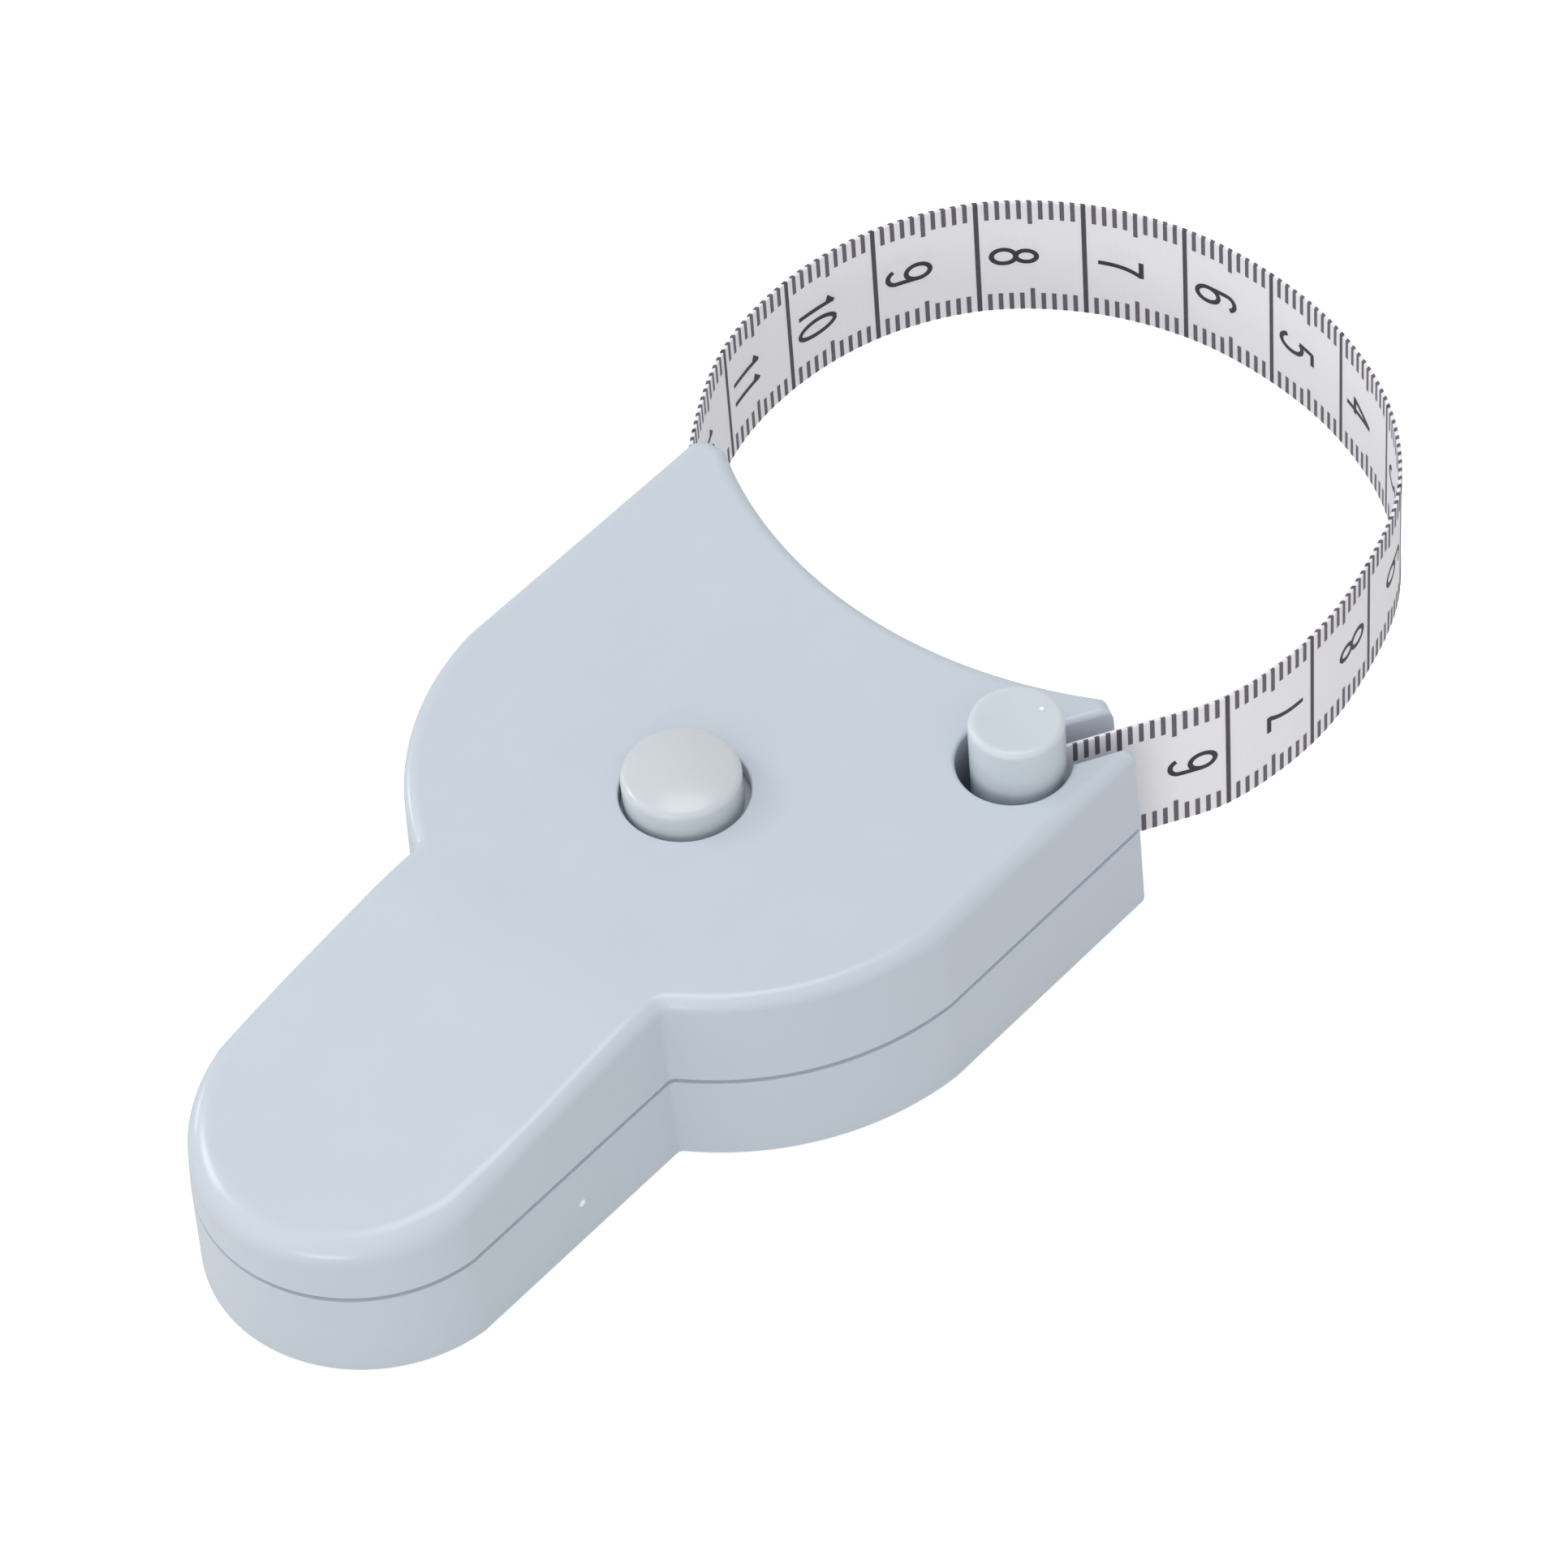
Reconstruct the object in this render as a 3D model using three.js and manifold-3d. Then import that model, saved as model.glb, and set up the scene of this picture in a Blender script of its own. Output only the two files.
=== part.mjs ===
// Retractable cloth tape measure for the body: a flat two part case with a grip,
// a mouth between two horns, and a tape that loops from one horn to the other.
// Millimetres, Z up. The origin is on the underside, below the middle of the button.
// Y runs from the grip towards the mouth, X towards the horn that holds the tape's end peg.
import * as THREE from 'three'
import { mergeVertices } from 'three/addons/utils/BufferGeometryUtils.js'
import Module from 'manifold-3d'

const wasm = await Module()
wasm.setup()

// Overrun of every cutter past the face that it opens
const overrun = 1

// Outline of the case, seen from above
const headHalf = 27.4
const drumRadius = 27.55
const drumCentreY = 4.9
const gripHalf = 14.27
const gripEndRadius = 14.4
const gripReach = 55.6
const mouthRadius = 44.37
const mouthBottom = 25.5
const mouthCentreY = mouthBottom + mouthRadius
const neckRound = 1.0
const leftHornTip = 3.2
const leftHornRound = 1.9
const leftHornInnerRound = 0.8
const rightHornOuterRound = 0.5
const rightHornInnerRound = 1.0

// Heights and walls of the two shells
const partingHeight = 9.1
const partingGap = 0.25
const wall = 1.9
const floorThickness = 1.6
const roofThickness = 1.5
const topEdgeRound = 1.4
const bottomEdgeRound = 0.25
const sideFlare = 0.3
const sideDraft = 0.15
const gripFallStart = 19.6
const gripFallLength = 5.0
const gripFallSlope = 0.133

// Tongue of the lower shell inside the rim of the upper one
const rimThickness = 0.85
const tongueClearance = 0.3
const tongueHeight = 1.0

// Tape
const tapeWidth = 13.7
const tapeThickness = 0.4
const tapeRise = 2.2
const tapeSeatGap = 0.3

// Reel that the tape winds on
const reelFlangeRadius = 20.5
const reelFlangeThickness = 0.6
const reelHubRadius = 13
const reelHubWall = 1.0
const packRadius = 18.6
const reelRunningGap = 0.2
const reelTopGap = 0.2
const washerThickness = 0.5
const washerRadius = 7.5
const reelBoreGap = 0.25

// Fixed arbor, mainspring and its cover
const arborRadius = 3.0
const arborFootRadius = 5.0
const arborFootThickness = 0.5
const arborShoulderDrop = 0.3
const arborSlotWidth = 0.8
const arborSlotDepth = 1.5
const arborTipRadius = 1.1
const arborTipHeight = 2.4
const springStripThickness = 0.25
const springTurns = 7
const springOuterRadius = 11.3
const springInnerRadius = 3.9
const springFloorGap = 0.3
const springEndGap = 0.3
const springCoverThickness = 0.7
const springCoverGap = 0.3
const springCoverBore = 3.6
const coverLedge = 0.8

// Reel cap with the lip that the brake holds
const capOpening = 7.5
const capPlugThickness = 1.4
const lipDrop = 3.3
const lipThickness = 1.2
const lipOpening = 4.8
const plugGap = 0.3

// Button, its flange, stem, brake ring and spring
const buttonHoleRadius = 5.69
const buttonRadius = 5.2
const buttonProud = 3.1
const buttonCrown = 0.45
const buttonShoulder = 0.8
const buttonFlangeRadius = 6.7
const buttonFlangeThickness = 1.3
const buttonFlangeGap = 0.3
const buttonStemRadius = 4.2
const buttonBoreRadius = 2.9
const buttonBoreDrop = 6.8
const buttonOffsetX = -0.25
const brakeRingRadius = 7.7
const brakeRingBore = 3.0
const brakeRingThickness = 0.8
const brakeGap = 0.3
const brakeRoom = 2.2
const coilRadius = 2.1
const coilWire = 0.45
const coilTurns = 4
const coilEndGap = 0.1

// Peg on the end of the tape, with its pocket and slot in the right horn
const pocketX = 19.62
const pocketY = 20.07
const pocketRadius = 5.05
const pocketFloor = 4.5
const pocketRimRound = 0.35
const pocketWall = 1.8
const slotWidth = 4.4
const slotFarWall = 1.95
const slotAngle = 60
const pegRadius = 4.15
const pegProud = 4.8
const pegEdgeRound = 0.6
const pegFloorGap = 0.3
const pegPull = 0.36
const pegPinRadius = 0.75
const pegPinBore = 1.6
const pegSlitWidth = 1.1

// Slit in the left horn where the tape leaves the case
const slitWidth = 1.7
const slitInset = 1.0
const slitDrop = 2.48
const slitAngle = 131
const slitEndGap = 0.35

// Route of the tape outside the case, as shares of the loop's radius
const loopRadius = 32.5
const loopCentreX = -2.2
const loopRise = 18.3
const loopShares = [
  [-0.972, -0.175], [-1.009, 0.126], [-0.948, 0.425], [-0.786, 0.686], [-0.537, 0.868],
  [-0.243, 0.963], [0.066, 0.968], [0.362, 0.902], [0.64, 0.754], [0.849, 0.526],
  [0.958, 0.242], [1.002, -0.046], [0.962, -0.348],
]
const leadBendIn = 2.9
const leadBendDrop = 4.8
const slitRun = 3.4
const slotMouthRun = 3.0

// Screws from below, with their bosses
const screwHeadRadius = 1.9
const screwHeadHeight = 1.3
const screwShankRadius = 0.9
const screwLength = 9.5
const screwRecess = 1.2
const screwClearance = 0.25
const screwDriveRadius = 0.9
const screwDriveDepth = 0.7
const bossRadius = 2.6
const bossGap = 0.3
const gripScrewY = -47.5
const neckScrewY = -28.5
const leftScrewX = -16.6
const leftScrewY = 18.9
const rightScrewX = 22.4
const rightScrewY = 6.6

// Ribs across the grip, at these shares of its reach
const ribThickness = 1.1
const ribHeight = 4.2
const ribPlaceShares = [0.435, 0.63, 0.737]

// Faces round the curves
const roundSides = 40
const smallSides = 16

// Points nearer than this are one point
const weldDistance = 0.00001

// Heights of the stack of tape, reel and case, from the floor up
const tapeBottom = floorThickness + washerThickness + reelRunningGap * 2 + reelFlangeThickness
const capTop = tapeBottom + tapeWidth + reelRunningGap + reelFlangeThickness
const caseHeight = capTop + reelTopGap + roofThickness
const buttonTop = caseHeight + buttonProud
const pegTop = caseHeight + pegProud

// Solids

function solid(geometry) {
  const bare = geometry.clone()
  bare.deleteAttribute('normal')
  bare.deleteAttribute('uv')
  const merged = mergeVertices(bare, weldDistance)
  const mesh = new wasm.Mesh({
    numProp: 3,
    vertProperties: new Float32Array(merged.attributes.position.array),
    triVerts: new Uint32Array(merged.index.array),
  })
  return new wasm.Manifold(mesh)
}

function geometryOf(body) {
  const mesh = body.getMesh()
  const geometry = new THREE.BufferGeometry()
  const positions = new Float32Array(mesh.vertProperties)
  geometry.setAttribute('position', new THREE.BufferAttribute(positions, mesh.numProp))
  geometry.setIndex(new THREE.BufferAttribute(new Uint32Array(mesh.triVerts), 1))
  const flat = geometry.toNonIndexed()
  flat.computeVertexNormals()
  return flat
}

function revolve(profile, x, y, sides) {
  const points = profile.map(([radius, height]) => new THREE.Vector2(radius, height))
  points.push(points[0].clone())
  const geometry = new THREE.LatheGeometry(points, sides)
  geometry.rotateX(Math.PI / 2)
  geometry.translate(x, y, 0)
  return solid(geometry)
}

function disc(x, y, radius, low, high, sides) {
  return revolve([[0, low], [radius, low], [radius, high], [0, high]], x, y, sides)
}

function ring(x, y, inner, outer, low, high, sides) {
  return revolve([[inner, low], [outer, low], [outer, high], [inner, high]], x, y, sides)
}

function block(x0, x1, y0, y1, z0, z1) {
  const geometry = new THREE.BoxGeometry(x1 - x0, y1 - y0, z1 - z0)
  geometry.translate((x0 + x1) / 2, (y0 + y1) / 2, (z0 + z1) / 2)
  return solid(geometry)
}

function turnedBlock(x, y, degrees, along0, along1, across0, across1, z0, z1) {
  const geometry = new THREE.BoxGeometry(along1 - along0, across1 - across0, z1 - z0)
  geometry.translate((along0 + along1) / 2, (across0 + across1) / 2, (z0 + z1) / 2)
  geometry.rotateZ(THREE.MathUtils.degToRad(degrees))
  geometry.translate(x, y, 0)
  return solid(geometry)
}

// A skin over rings of points that all have the same count, closed by two caps
function skin(rings, bottomCap, topCap) {
  const count = rings[0].length
  const positions = []
  const index = []
  for (const row of rings) {
    for (const p of row) positions.push(p.x, p.y, p.z)
  }
  for (let k = 0; k + 1 < rings.length; k++) {
    for (let i = 0; i < count; i++) {
      const a = k * count + i
      const b = k * count + (i + 1) % count
      index.push(a, b, b + count, a, b + count, a + count)
    }
  }
  const last = (rings.length - 1) * count
  for (const [a, b, c] of bottomCap) index.push(c, b, a)
  for (const [a, b, c] of topCap) index.push(last + a, last + b, last + c)
  const geometry = new THREE.BufferGeometry()
  geometry.setAttribute('position', new THREE.Float32BufferAttribute(positions, 3))
  geometry.setIndex(index)
  return geometry
}

function arcPoints(cx, cy, radius, from, to, steps, skipEnds) {
  const points = []
  const first = skipEnds ? 1 : 0
  for (let i = first; i <= steps - first; i++) {
    const angle = from + (to - from) * i / steps
    points.push(new THREE.Vector2(cx + radius * Math.cos(angle), cy + radius * Math.sin(angle)))
  }
  return points
}

// Points of the round between two directions that meet in a corner
function cornerPoints(corner, back, ahead, radius, steps) {
  const u = back.clone().normalize()
  const v = ahead.clone().normalize()
  const half = Math.acos(THREE.MathUtils.clamp(u.dot(v), -1, 1)) / 2
  const run = radius / Math.tan(half)
  const start = corner.clone().addScaledVector(u, run)
  const end = corner.clone().addScaledVector(v, run)
  const centre = corner.clone().addScaledVector(u.clone().add(v).normalize(), radius / Math.sin(half))
  const from = start.clone().sub(centre).angle()
  let turn = end.clone().sub(centre).angle() - from
  if (turn > Math.PI) turn -= 2 * Math.PI
  if (turn < -Math.PI) turn += 2 * Math.PI
  return { points: arcPoints(centre.x, centre.y, radius, from, from + turn, steps, false), run }
}

const vec = (x, y) => new THREE.Vector2(x, y)
const slotRadians = THREE.MathUtils.degToRad(slotAngle)
const slotAlong = vec(Math.cos(slotRadians), Math.sin(slotRadians))
const slotAcross = vec(-Math.sin(slotRadians), Math.cos(slotRadians))
const smallestRoundShare = 0.04

// The left horn ends where the mouth leaves it its named width
const leftHornX = headHalf - leftHornTip
const leftHornReach = mouthCentreY - Math.sqrt(mouthRadius * mouthRadius - leftHornX * leftHornX)
const slitX = slitInset - headHalf
const slitY = leftHornReach - slitDrop

// The right horn ends, square to its slot, where the mouth leaves the slot its far wall
const mouthCentre = vec(0, mouthCentreY)
const slotFarAcross = vec(pocketX, pocketY).dot(slotAcross) + slotWidth / 2 + slotFarWall
const mouthToWall = mouthCentre.dot(slotAcross) - slotFarAcross
const rightHornReach = mouthCentre.dot(slotAlong) - Math.sqrt(mouthRadius * mouthRadius - mouthToWall * mouthToWall)

// Height of the top face: level over the head, falling along the grip
function topAt(y) {
  const past = -gripFallStart - y
  if (past <= 0) return caseHeight
  if (past < gripFallLength) return caseHeight - gripFallSlope * past * past / (2 * gripFallLength)
  return caseHeight - gripFallSlope * (past - gripFallLength / 2)
}

const drumSteps = 11
const mouthSteps = 22
const gripEndSteps = 16
const fallSteps = 4
const gripSteps = 3
const cornerSteps = 3

// Outline of the case moved inwards: first the head from neck to neck, then the grip
function outline(inset) {
  const half = headHalf - inset
  const grip = gripHalf - inset
  const drum = drumRadius - inset
  const end = gripEndRadius - inset
  const mouth = mouthRadius + inset
  const endCentreY = gripEndRadius - gripReach
  const smallest = smallestRoundShare * rightHornOuterRound
  const shrink = (radius) => Math.max(radius - inset, smallest)

  const neckY = drumCentreY - Math.sqrt(drum * drum - grip * grip)
  const neckAngle = Math.atan2(neckY - drumCentreY, grip)
  const kinkY = drumCentreY - Math.sqrt(drum * drum - half * half)
  const kinkAngle = Math.atan2(kinkY - drumCentreY, half)
  const neckRight = cornerPoints(vec(grip, neckY), vec(0, -1), vec(-Math.sin(neckAngle), Math.cos(neckAngle)),
    neckRound + inset, cornerSteps)
  const neckTurn = neckRight.run / drum

  const reach = rightHornReach - inset
  const nearTip = vec(half, (reach - half * slotAlong.x) / slotAlong.y)
  const across = mouthCentre.dot(slotAcross)
    - Math.sqrt(mouth * mouth - Math.pow(reach - mouthCentre.dot(slotAlong), 2))
  const farTip = slotAlong.clone().multiplyScalar(reach).addScaledVector(slotAcross, across)
  const farAngle = Math.atan2(farTip.y - mouthCentreY, farTip.x)
  const nearCorner = cornerPoints(nearTip, vec(0, -1), slotAcross, shrink(rightHornOuterRound), cornerSteps)
  const farCorner = cornerPoints(farTip, slotAcross.clone().negate(), vec(Math.sin(farAngle), -Math.cos(farAngle)),
    shrink(rightHornInnerRound), cornerSteps)

  const leftY = leftHornReach - inset
  const leftX = -Math.sqrt(mouth * mouth - Math.pow(mouthCentreY - leftY, 2))
  const leftAngle = Math.atan2(leftY - mouthCentreY, leftX)
  const leftInner = cornerPoints(vec(leftX, leftY), vec(-Math.sin(leftAngle), Math.cos(leftAngle)), vec(-1, 0),
    shrink(leftHornInnerRound), cornerSteps)
  const leftOuter = cornerPoints(vec(-half, leftY), vec(1, 0), vec(0, -1), shrink(leftHornRound), cornerSteps)

  const head = [
    ...neckRight.points,
    ...arcPoints(0, drumCentreY, drum, neckAngle + neckTurn, kinkAngle, drumSteps, false).slice(1),
    ...nearCorner.points,
    ...farCorner.points,
    ...arcPoints(0, mouthCentreY, mouth, farAngle - farCorner.run / mouth, leftAngle + leftInner.run / mouth,
      mouthSteps, true),
    ...leftInner.points,
    ...leftOuter.points,
    ...arcPoints(0, drumCentreY, drum, Math.PI - kinkAngle, Math.PI - neckAngle - neckTurn, drumSteps,
      false).slice(0, -1),
    ...neckRight.points.map((p) => vec(-p.x, p.y)).reverse(),
  ]
  const sideY = endCentreY - Math.sqrt(end * end - grip * grip)
  const heights = []
  for (let i = 0; i <= fallSteps; i++) heights.push(-gripFallStart - gripFallLength * i / fallSteps)
  const fallEnd = heights[heights.length - 1]
  for (let i = 1; i < gripSteps; i++) heights.push(fallEnd + (sideY - fallEnd) * i / gripSteps)
  const endFrom = Math.atan2(sideY - endCentreY, -grip)
  const endTo = Math.atan2(sideY - endCentreY, grip)
  const grips = [
    ...heights.map((y) => vec(-grip, y)),
    ...arcPoints(0, endCentreY, end, endFrom, endTo, gripEndSteps, false),
    ...heights.map((y) => vec(grip, y)).reverse(),
  ]
  return { head, grips, all: [...head, ...grips] }
}

// Triangles that close the outline: the head as one polygon, the grip as rungs
function capFaces(shape) {
  const faces = THREE.ShapeUtils.triangulateShape(shape.head, [])
  const headCount = shape.head.length
  const gripCount = shape.grips.length
  const total = headCount + gripCount
  let left = headCount - 1
  let right = 0
  for (let i = 0; i < gripCount / 2; i++) {
    const nextLeft = headCount + i
    const nextRight = total - 1 - i
    if (nextLeft === nextRight) {
      faces.push([left, nextLeft, right])
    } else {
      faces.push([left, nextLeft, nextRight], [left, nextRight, right])
    }
    left = nextLeft
    right = nextRight
  }
  return faces
}

// Case shaped body from levels of [inset, height of each point]
function caseBody(levels) {
  const shapes = levels.map(([inset]) => outline(inset))
  const rings = shapes.map((shape, k) => shape.all.map((p) => new THREE.Vector3(p.x, p.y, levels[k][1](p.y))))
  return solid(skin(rings, capFaces(shapes[0]), capFaces(shapes[shapes.length - 1])))
}

// The sides lean in from the underside, where they stand out, to the top
const leanAt = (height) => (sideFlare + sideDraft) * height / caseHeight - sideFlare

const level = (height) => () => height
const below = (drop) => (y) => topAt(y) - drop

// Keyhole of the pocket and its slot, with the rim rounded where it meets the top face
function keyholeCutter() {
  const low = pocketFloor
  const high = caseHeight + overrun
  const r = pocketRimRound
  const roundSteps = 3
  const profile = [[0, low], [pocketRadius, low]]
  const edge = []
  for (let i = 0; i <= roundSteps; i++) {
    const angle = Math.PI / 2 * i / roundSteps
    edge.push([r * (1 - Math.cos(angle)), caseHeight - r + r * Math.sin(angle)])
  }
  for (const [out, z] of edge) profile.push([pocketRadius + out, z])
  profile.push([pocketRadius + r, high], [0, high])
  const pocket = revolve(profile, pocketX, pocketY, roundSides)
  const rows = [[0, low], ...edge, [r, high]]
  const rings = rows.map(([out, z]) => {
    const half = slotWidth / 2 + out
    const end = rightHornReach + sideFlare + overrun
    return [[0, -half], [end, -half], [end, half], [0, half]].map(([a, c]) => {
      const p = vec(pocketX, pocketY).addScaledVector(slotAlong, a).addScaledVector(slotAcross, c)
      return new THREE.Vector3(p.x, p.y, z)
    })
  })
  const cap = [[0, 1, 2], [0, 2, 3]]
  return pocket.add(solid(skin(rings, cap, cap)))
}

// Material round the pocket and out to the tip of the right horn
function hornBlock(margin, low, high) {
  const radius = pocketRadius + pocketWall + margin
  const round = disc(pocketX, pocketY, radius, low, high, roundSides)
  const band = turnedBlock(pocketX, pocketY, slotAngle, 0, rightHornReach, -radius, radius * 2, low, high)
  return round.add(band)
}

// Route of the tape

const pegPlace = vec(pocketX, pocketY).addScaledVector(slotAlong, pegPull)
const slitRadians = THREE.MathUtils.degToRad(slitAngle)
const slitAlong = vec(Math.cos(slitRadians), Math.sin(slitRadians))
const slitPlace = vec(slitX, slitY)
const slotMouth = slotAlong.clone().multiplyScalar(rightHornReach)
  .addScaledVector(slotAcross, vec(pocketX, pocketY).dot(slotAcross))

// The tape lies against the pack with its middle this far from the reel's axis
const wrapRadius = packRadius + tapeSeatGap + tapeThickness / 2

function tangentPoint(place) {
  const reach = place.length()
  const angle = place.angle() + Math.acos(wrapRadius / reach)
  return vec(wrapRadius * Math.cos(angle), wrapRadius * Math.sin(angle))
}

const bend = vec(slitX + leadBendIn, slitY - leadBendDrop)
const loopCentreY = slitY + loopRise
const leaving = tangentPoint(bend)
const tapeRoute = [
  leaving,
  leaving.clone().lerp(bend, 0.5),
  bend,
  slitPlace.clone().addScaledVector(slitAlong, -slitWidth),
  slitPlace,
  slitPlace.clone().addScaledVector(slitAlong, slitRun),
  ...loopShares.map(([x, y]) => vec(loopCentreX + x * loopRadius, loopCentreY + y * loopRadius)),
  slotMouth.clone().addScaledVector(slotAlong, slotMouthRun),
  slotMouth,
  vec(pocketX, pocketY).addScaledVector(slotAlong, pocketRadius),
  pegPlace.clone().addScaledVector(slotAlong, pegPinBore),
].map((p) => new THREE.Vector3(p.x, p.y, 0))
const tapeCurve = new THREE.CatmullRomCurve3(tapeRoute, false, 'centripetal')
tapeCurve.arcLengthDivisions = 1200
const tapeLength = tapeCurve.getLength()

// Share of the tape's length at its point nearest to a place
function shareNear(place) {
  let best = 0
  let least = Infinity
  const samples = 1500
  for (let i = 0; i <= samples; i++) {
    const p = tapeCurve.getPointAt(i / samples)
    const away = Math.hypot(p.x - place.x, p.y - place.y)
    if (away < least) {
      least = away
      best = i / samples
    }
  }
  return best
}

const shareAtSlit = shareNear(slitPlace)
const shareAtSlot = shareNear(slotMouth)

// The tape climbs a little on its way round to the peg
function tapeLow(share) {
  const way = THREE.MathUtils.clamp((share - shareAtSlit) / (shareAtSlot - shareAtSlit), 0, 1)
  return tapeBottom + tapeRise * way
}

function tapeStrip(from, to, steps) {
  const rings = []
  const half = tapeThickness / 2
  for (let i = 0; i <= steps; i++) {
    const share = from + (to - from) * i / steps
    const p = tapeCurve.getPointAt(share)
    const t = tapeCurve.getTangentAt(share)
    const side = new THREE.Vector3(t.y, -t.x, 0).normalize()
    const low = tapeLow(share)
    rings.push([
      new THREE.Vector3(p.x + side.x * half, p.y + side.y * half, low),
      new THREE.Vector3(p.x - side.x * half, p.y - side.y * half, low),
      new THREE.Vector3(p.x - side.x * half, p.y - side.y * half, low + tapeWidth),
      new THREE.Vector3(p.x + side.x * half, p.y + side.y * half, low + tapeWidth),
    ])
  }
  const cap = [[0, 1, 2], [0, 2, 3]]
  return solid(skin(rings, cap, cap))
}

const tapeJoint = tapeSeatGap / 2 / tapeLength
const tapeLead = tapeStrip(0, shareAtSlit - tapeJoint, 16)
const tapeLoop = tapeStrip(shareAtSlit + tapeJoint, shareAtSlot - tapeJoint, 60)
const tapeTail = tapeStrip(shareAtSlot + tapeJoint, 1, 5)

// Screws

const screwPlaces = [
  [0, gripScrewY],
  [0, neckScrewY],
  [leftScrewX, leftScrewY],
  [rightScrewX, rightScrewY],
]
const screwTop = screwRecess + screwHeadHeight + screwLength
const screwSeat = screwRecess + screwHeadHeight

function screwSolid(x, y) {
  const shank = screwSeat
  const tip = screwShankRadius
  const body = revolve([
    [0, screwRecess], [screwHeadRadius, screwRecess], [screwHeadRadius, shank], [screwShankRadius, shank],
    [screwShankRadius, screwTop - tip], [0, screwTop],
  ], x, y, smallSides)
  const arm = screwDriveRadius
  const thin = screwDriveRadius / 3
  const low = screwRecess - overrun
  const high = screwRecess + screwDriveDepth
  const cross = block(x - arm, x + arm, y - thin, y + thin, low, high)
    .add(block(x - thin, x + thin, y - arm, y + arm, low, high))
  return body.subtract(cross)
}

// Lower shell

const upperBottom = partingHeight + partingGap
const r0 = bottomEdgeRound
const lowerOuter = caseBody([
  [r0 + leanAt(0), level(0)],
  [r0 * (1 - Math.SQRT1_2) + leanAt(0), level(r0 * (1 - Math.SQRT1_2))],
  [leanAt(r0), level(r0)],
  [leanAt(partingHeight), level(partingHeight)],
])
const lowerRoom = caseBody([[wall, level(floorThickness)], [wall, level(partingHeight + overrun)]])
  .subtract(hornBlock(0, 0, caseHeight))
const tongueOuter = caseBody([
  [rimThickness + tongueClearance, level(partingHeight - overrun)],
  [rimThickness + tongueClearance, level(partingHeight + tongueHeight)],
])
const tongueInner = caseBody([
  [wall, level(partingHeight - overrun * 2)],
  [wall, level(partingHeight + tongueHeight + overrun)],
])
const tongue = tongueOuter.subtract(tongueInner)
  .subtract(hornBlock(tongueClearance, partingHeight, caseHeight))
  .subtract(block(-headHalf, headHalf, leftHornReach - wall * 2, leftHornReach, partingHeight, caseHeight))
  .subtract(block(-headHalf, slitX + wall * 2, slitY - wall * 2, leftHornReach, partingHeight, caseHeight))

let lowerShell = lowerOuter.subtract(lowerRoom).add(tongue)
for (const [x, y] of screwPlaces) {
  const boss = disc(x, y, bossRadius, floorThickness / 2, partingHeight, smallSides)
  lowerShell = lowerShell.add(boss)
}
const ribPlaces = ribPlaceShares.map((share) => -share * gripReach)
for (const y of ribPlaces) {
  const rib = block(-gripHalf + wall / 2, gripHalf - wall / 2, y - ribThickness / 2, y + ribThickness / 2,
    floorThickness / 2, floorThickness + ribHeight)
  lowerShell = lowerShell.add(rib)
}
for (const [x, y] of screwPlaces) {
  const hole = disc(x, y, screwShankRadius + screwClearance, -overrun, partingHeight + overrun, smallSides)
  const recess = disc(x, y, screwHeadRadius + screwClearance, -overrun, screwSeat, smallSides)
  lowerShell = lowerShell.subtract(hole).subtract(recess)
}
const keyholeCut = keyholeCutter()
const tapeTop = tapeBottom + tapeWidth
const slitCut = turnedBlock(slitX, slitY, slitAngle, -wall * 2, wall * 2, -slitWidth / 2, slitWidth / 2,
  tapeBottom - slitEndGap, tapeTop + slitEndGap)
const arborFootLow = floorThickness - arborFootThickness
const arborSocket = disc(0, 0, arborFootRadius, arborFootLow, floorThickness + overrun, roundSides)
lowerShell = lowerShell.subtract(keyholeCut).subtract(slitCut).subtract(arborSocket)

// Upper shell

const upperLevels = [[leanAt(upperBottom), level(upperBottom)], [sideDraft, below(topEdgeRound)]]
const topRoundSteps = 4
for (let i = 1; i <= topRoundSteps; i++) {
  const angle = Math.PI / 2 * i / topRoundSteps
  const inset = sideDraft + topEdgeRound * (1 - Math.cos(angle))
  upperLevels.push([inset, below(topEdgeRound * (1 - Math.sin(angle)))])
}
const upperOuter = caseBody(upperLevels)
const upperRoom = caseBody([[wall, level(upperBottom - overrun)], [wall, below(roofThickness)]])
  .subtract(hornBlock(0, 0, caseHeight))
const rimRoom = caseBody([
  [rimThickness, level(upperBottom - overrun)],
  [rimThickness, level(partingHeight + tongueHeight + tongueClearance)],
]).subtract(hornBlock(0, 0, caseHeight))
let upperShell = upperOuter.subtract(upperRoom).subtract(rimRoom)
for (const [x, y] of screwPlaces) {
  const boss = disc(x, y, bossRadius, partingHeight + bossGap, topAt(y) - roofThickness / 2, smallSides)
  upperShell = upperShell.add(boss)
}
for (const y of ribPlaces) {
  const inner = gripHalf - wall / 2
  const roof = topAt(y) - roofThickness / 2
  const rib = block(-inner, inner, y - ribThickness / 2, y + ribThickness / 2, roof - ribHeight / 2, roof)
  upperShell = upperShell.add(rib)
}
for (const [x, y] of screwPlaces) {
  const pilot = disc(x, y, screwShankRadius + screwClearance, upperBottom - overrun, screwTop + screwClearance,
    smallSides)
  upperShell = upperShell.subtract(pilot)
}
const roofLow = caseHeight - roofThickness
const buttonHole = disc(0, 0, buttonHoleRadius, roofLow - overrun, caseHeight + overrun, roundSides)
upperShell = upperShell.subtract(keyholeCut).subtract(slitCut).subtract(buttonHole)

// Arbor, washer and reel

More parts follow.
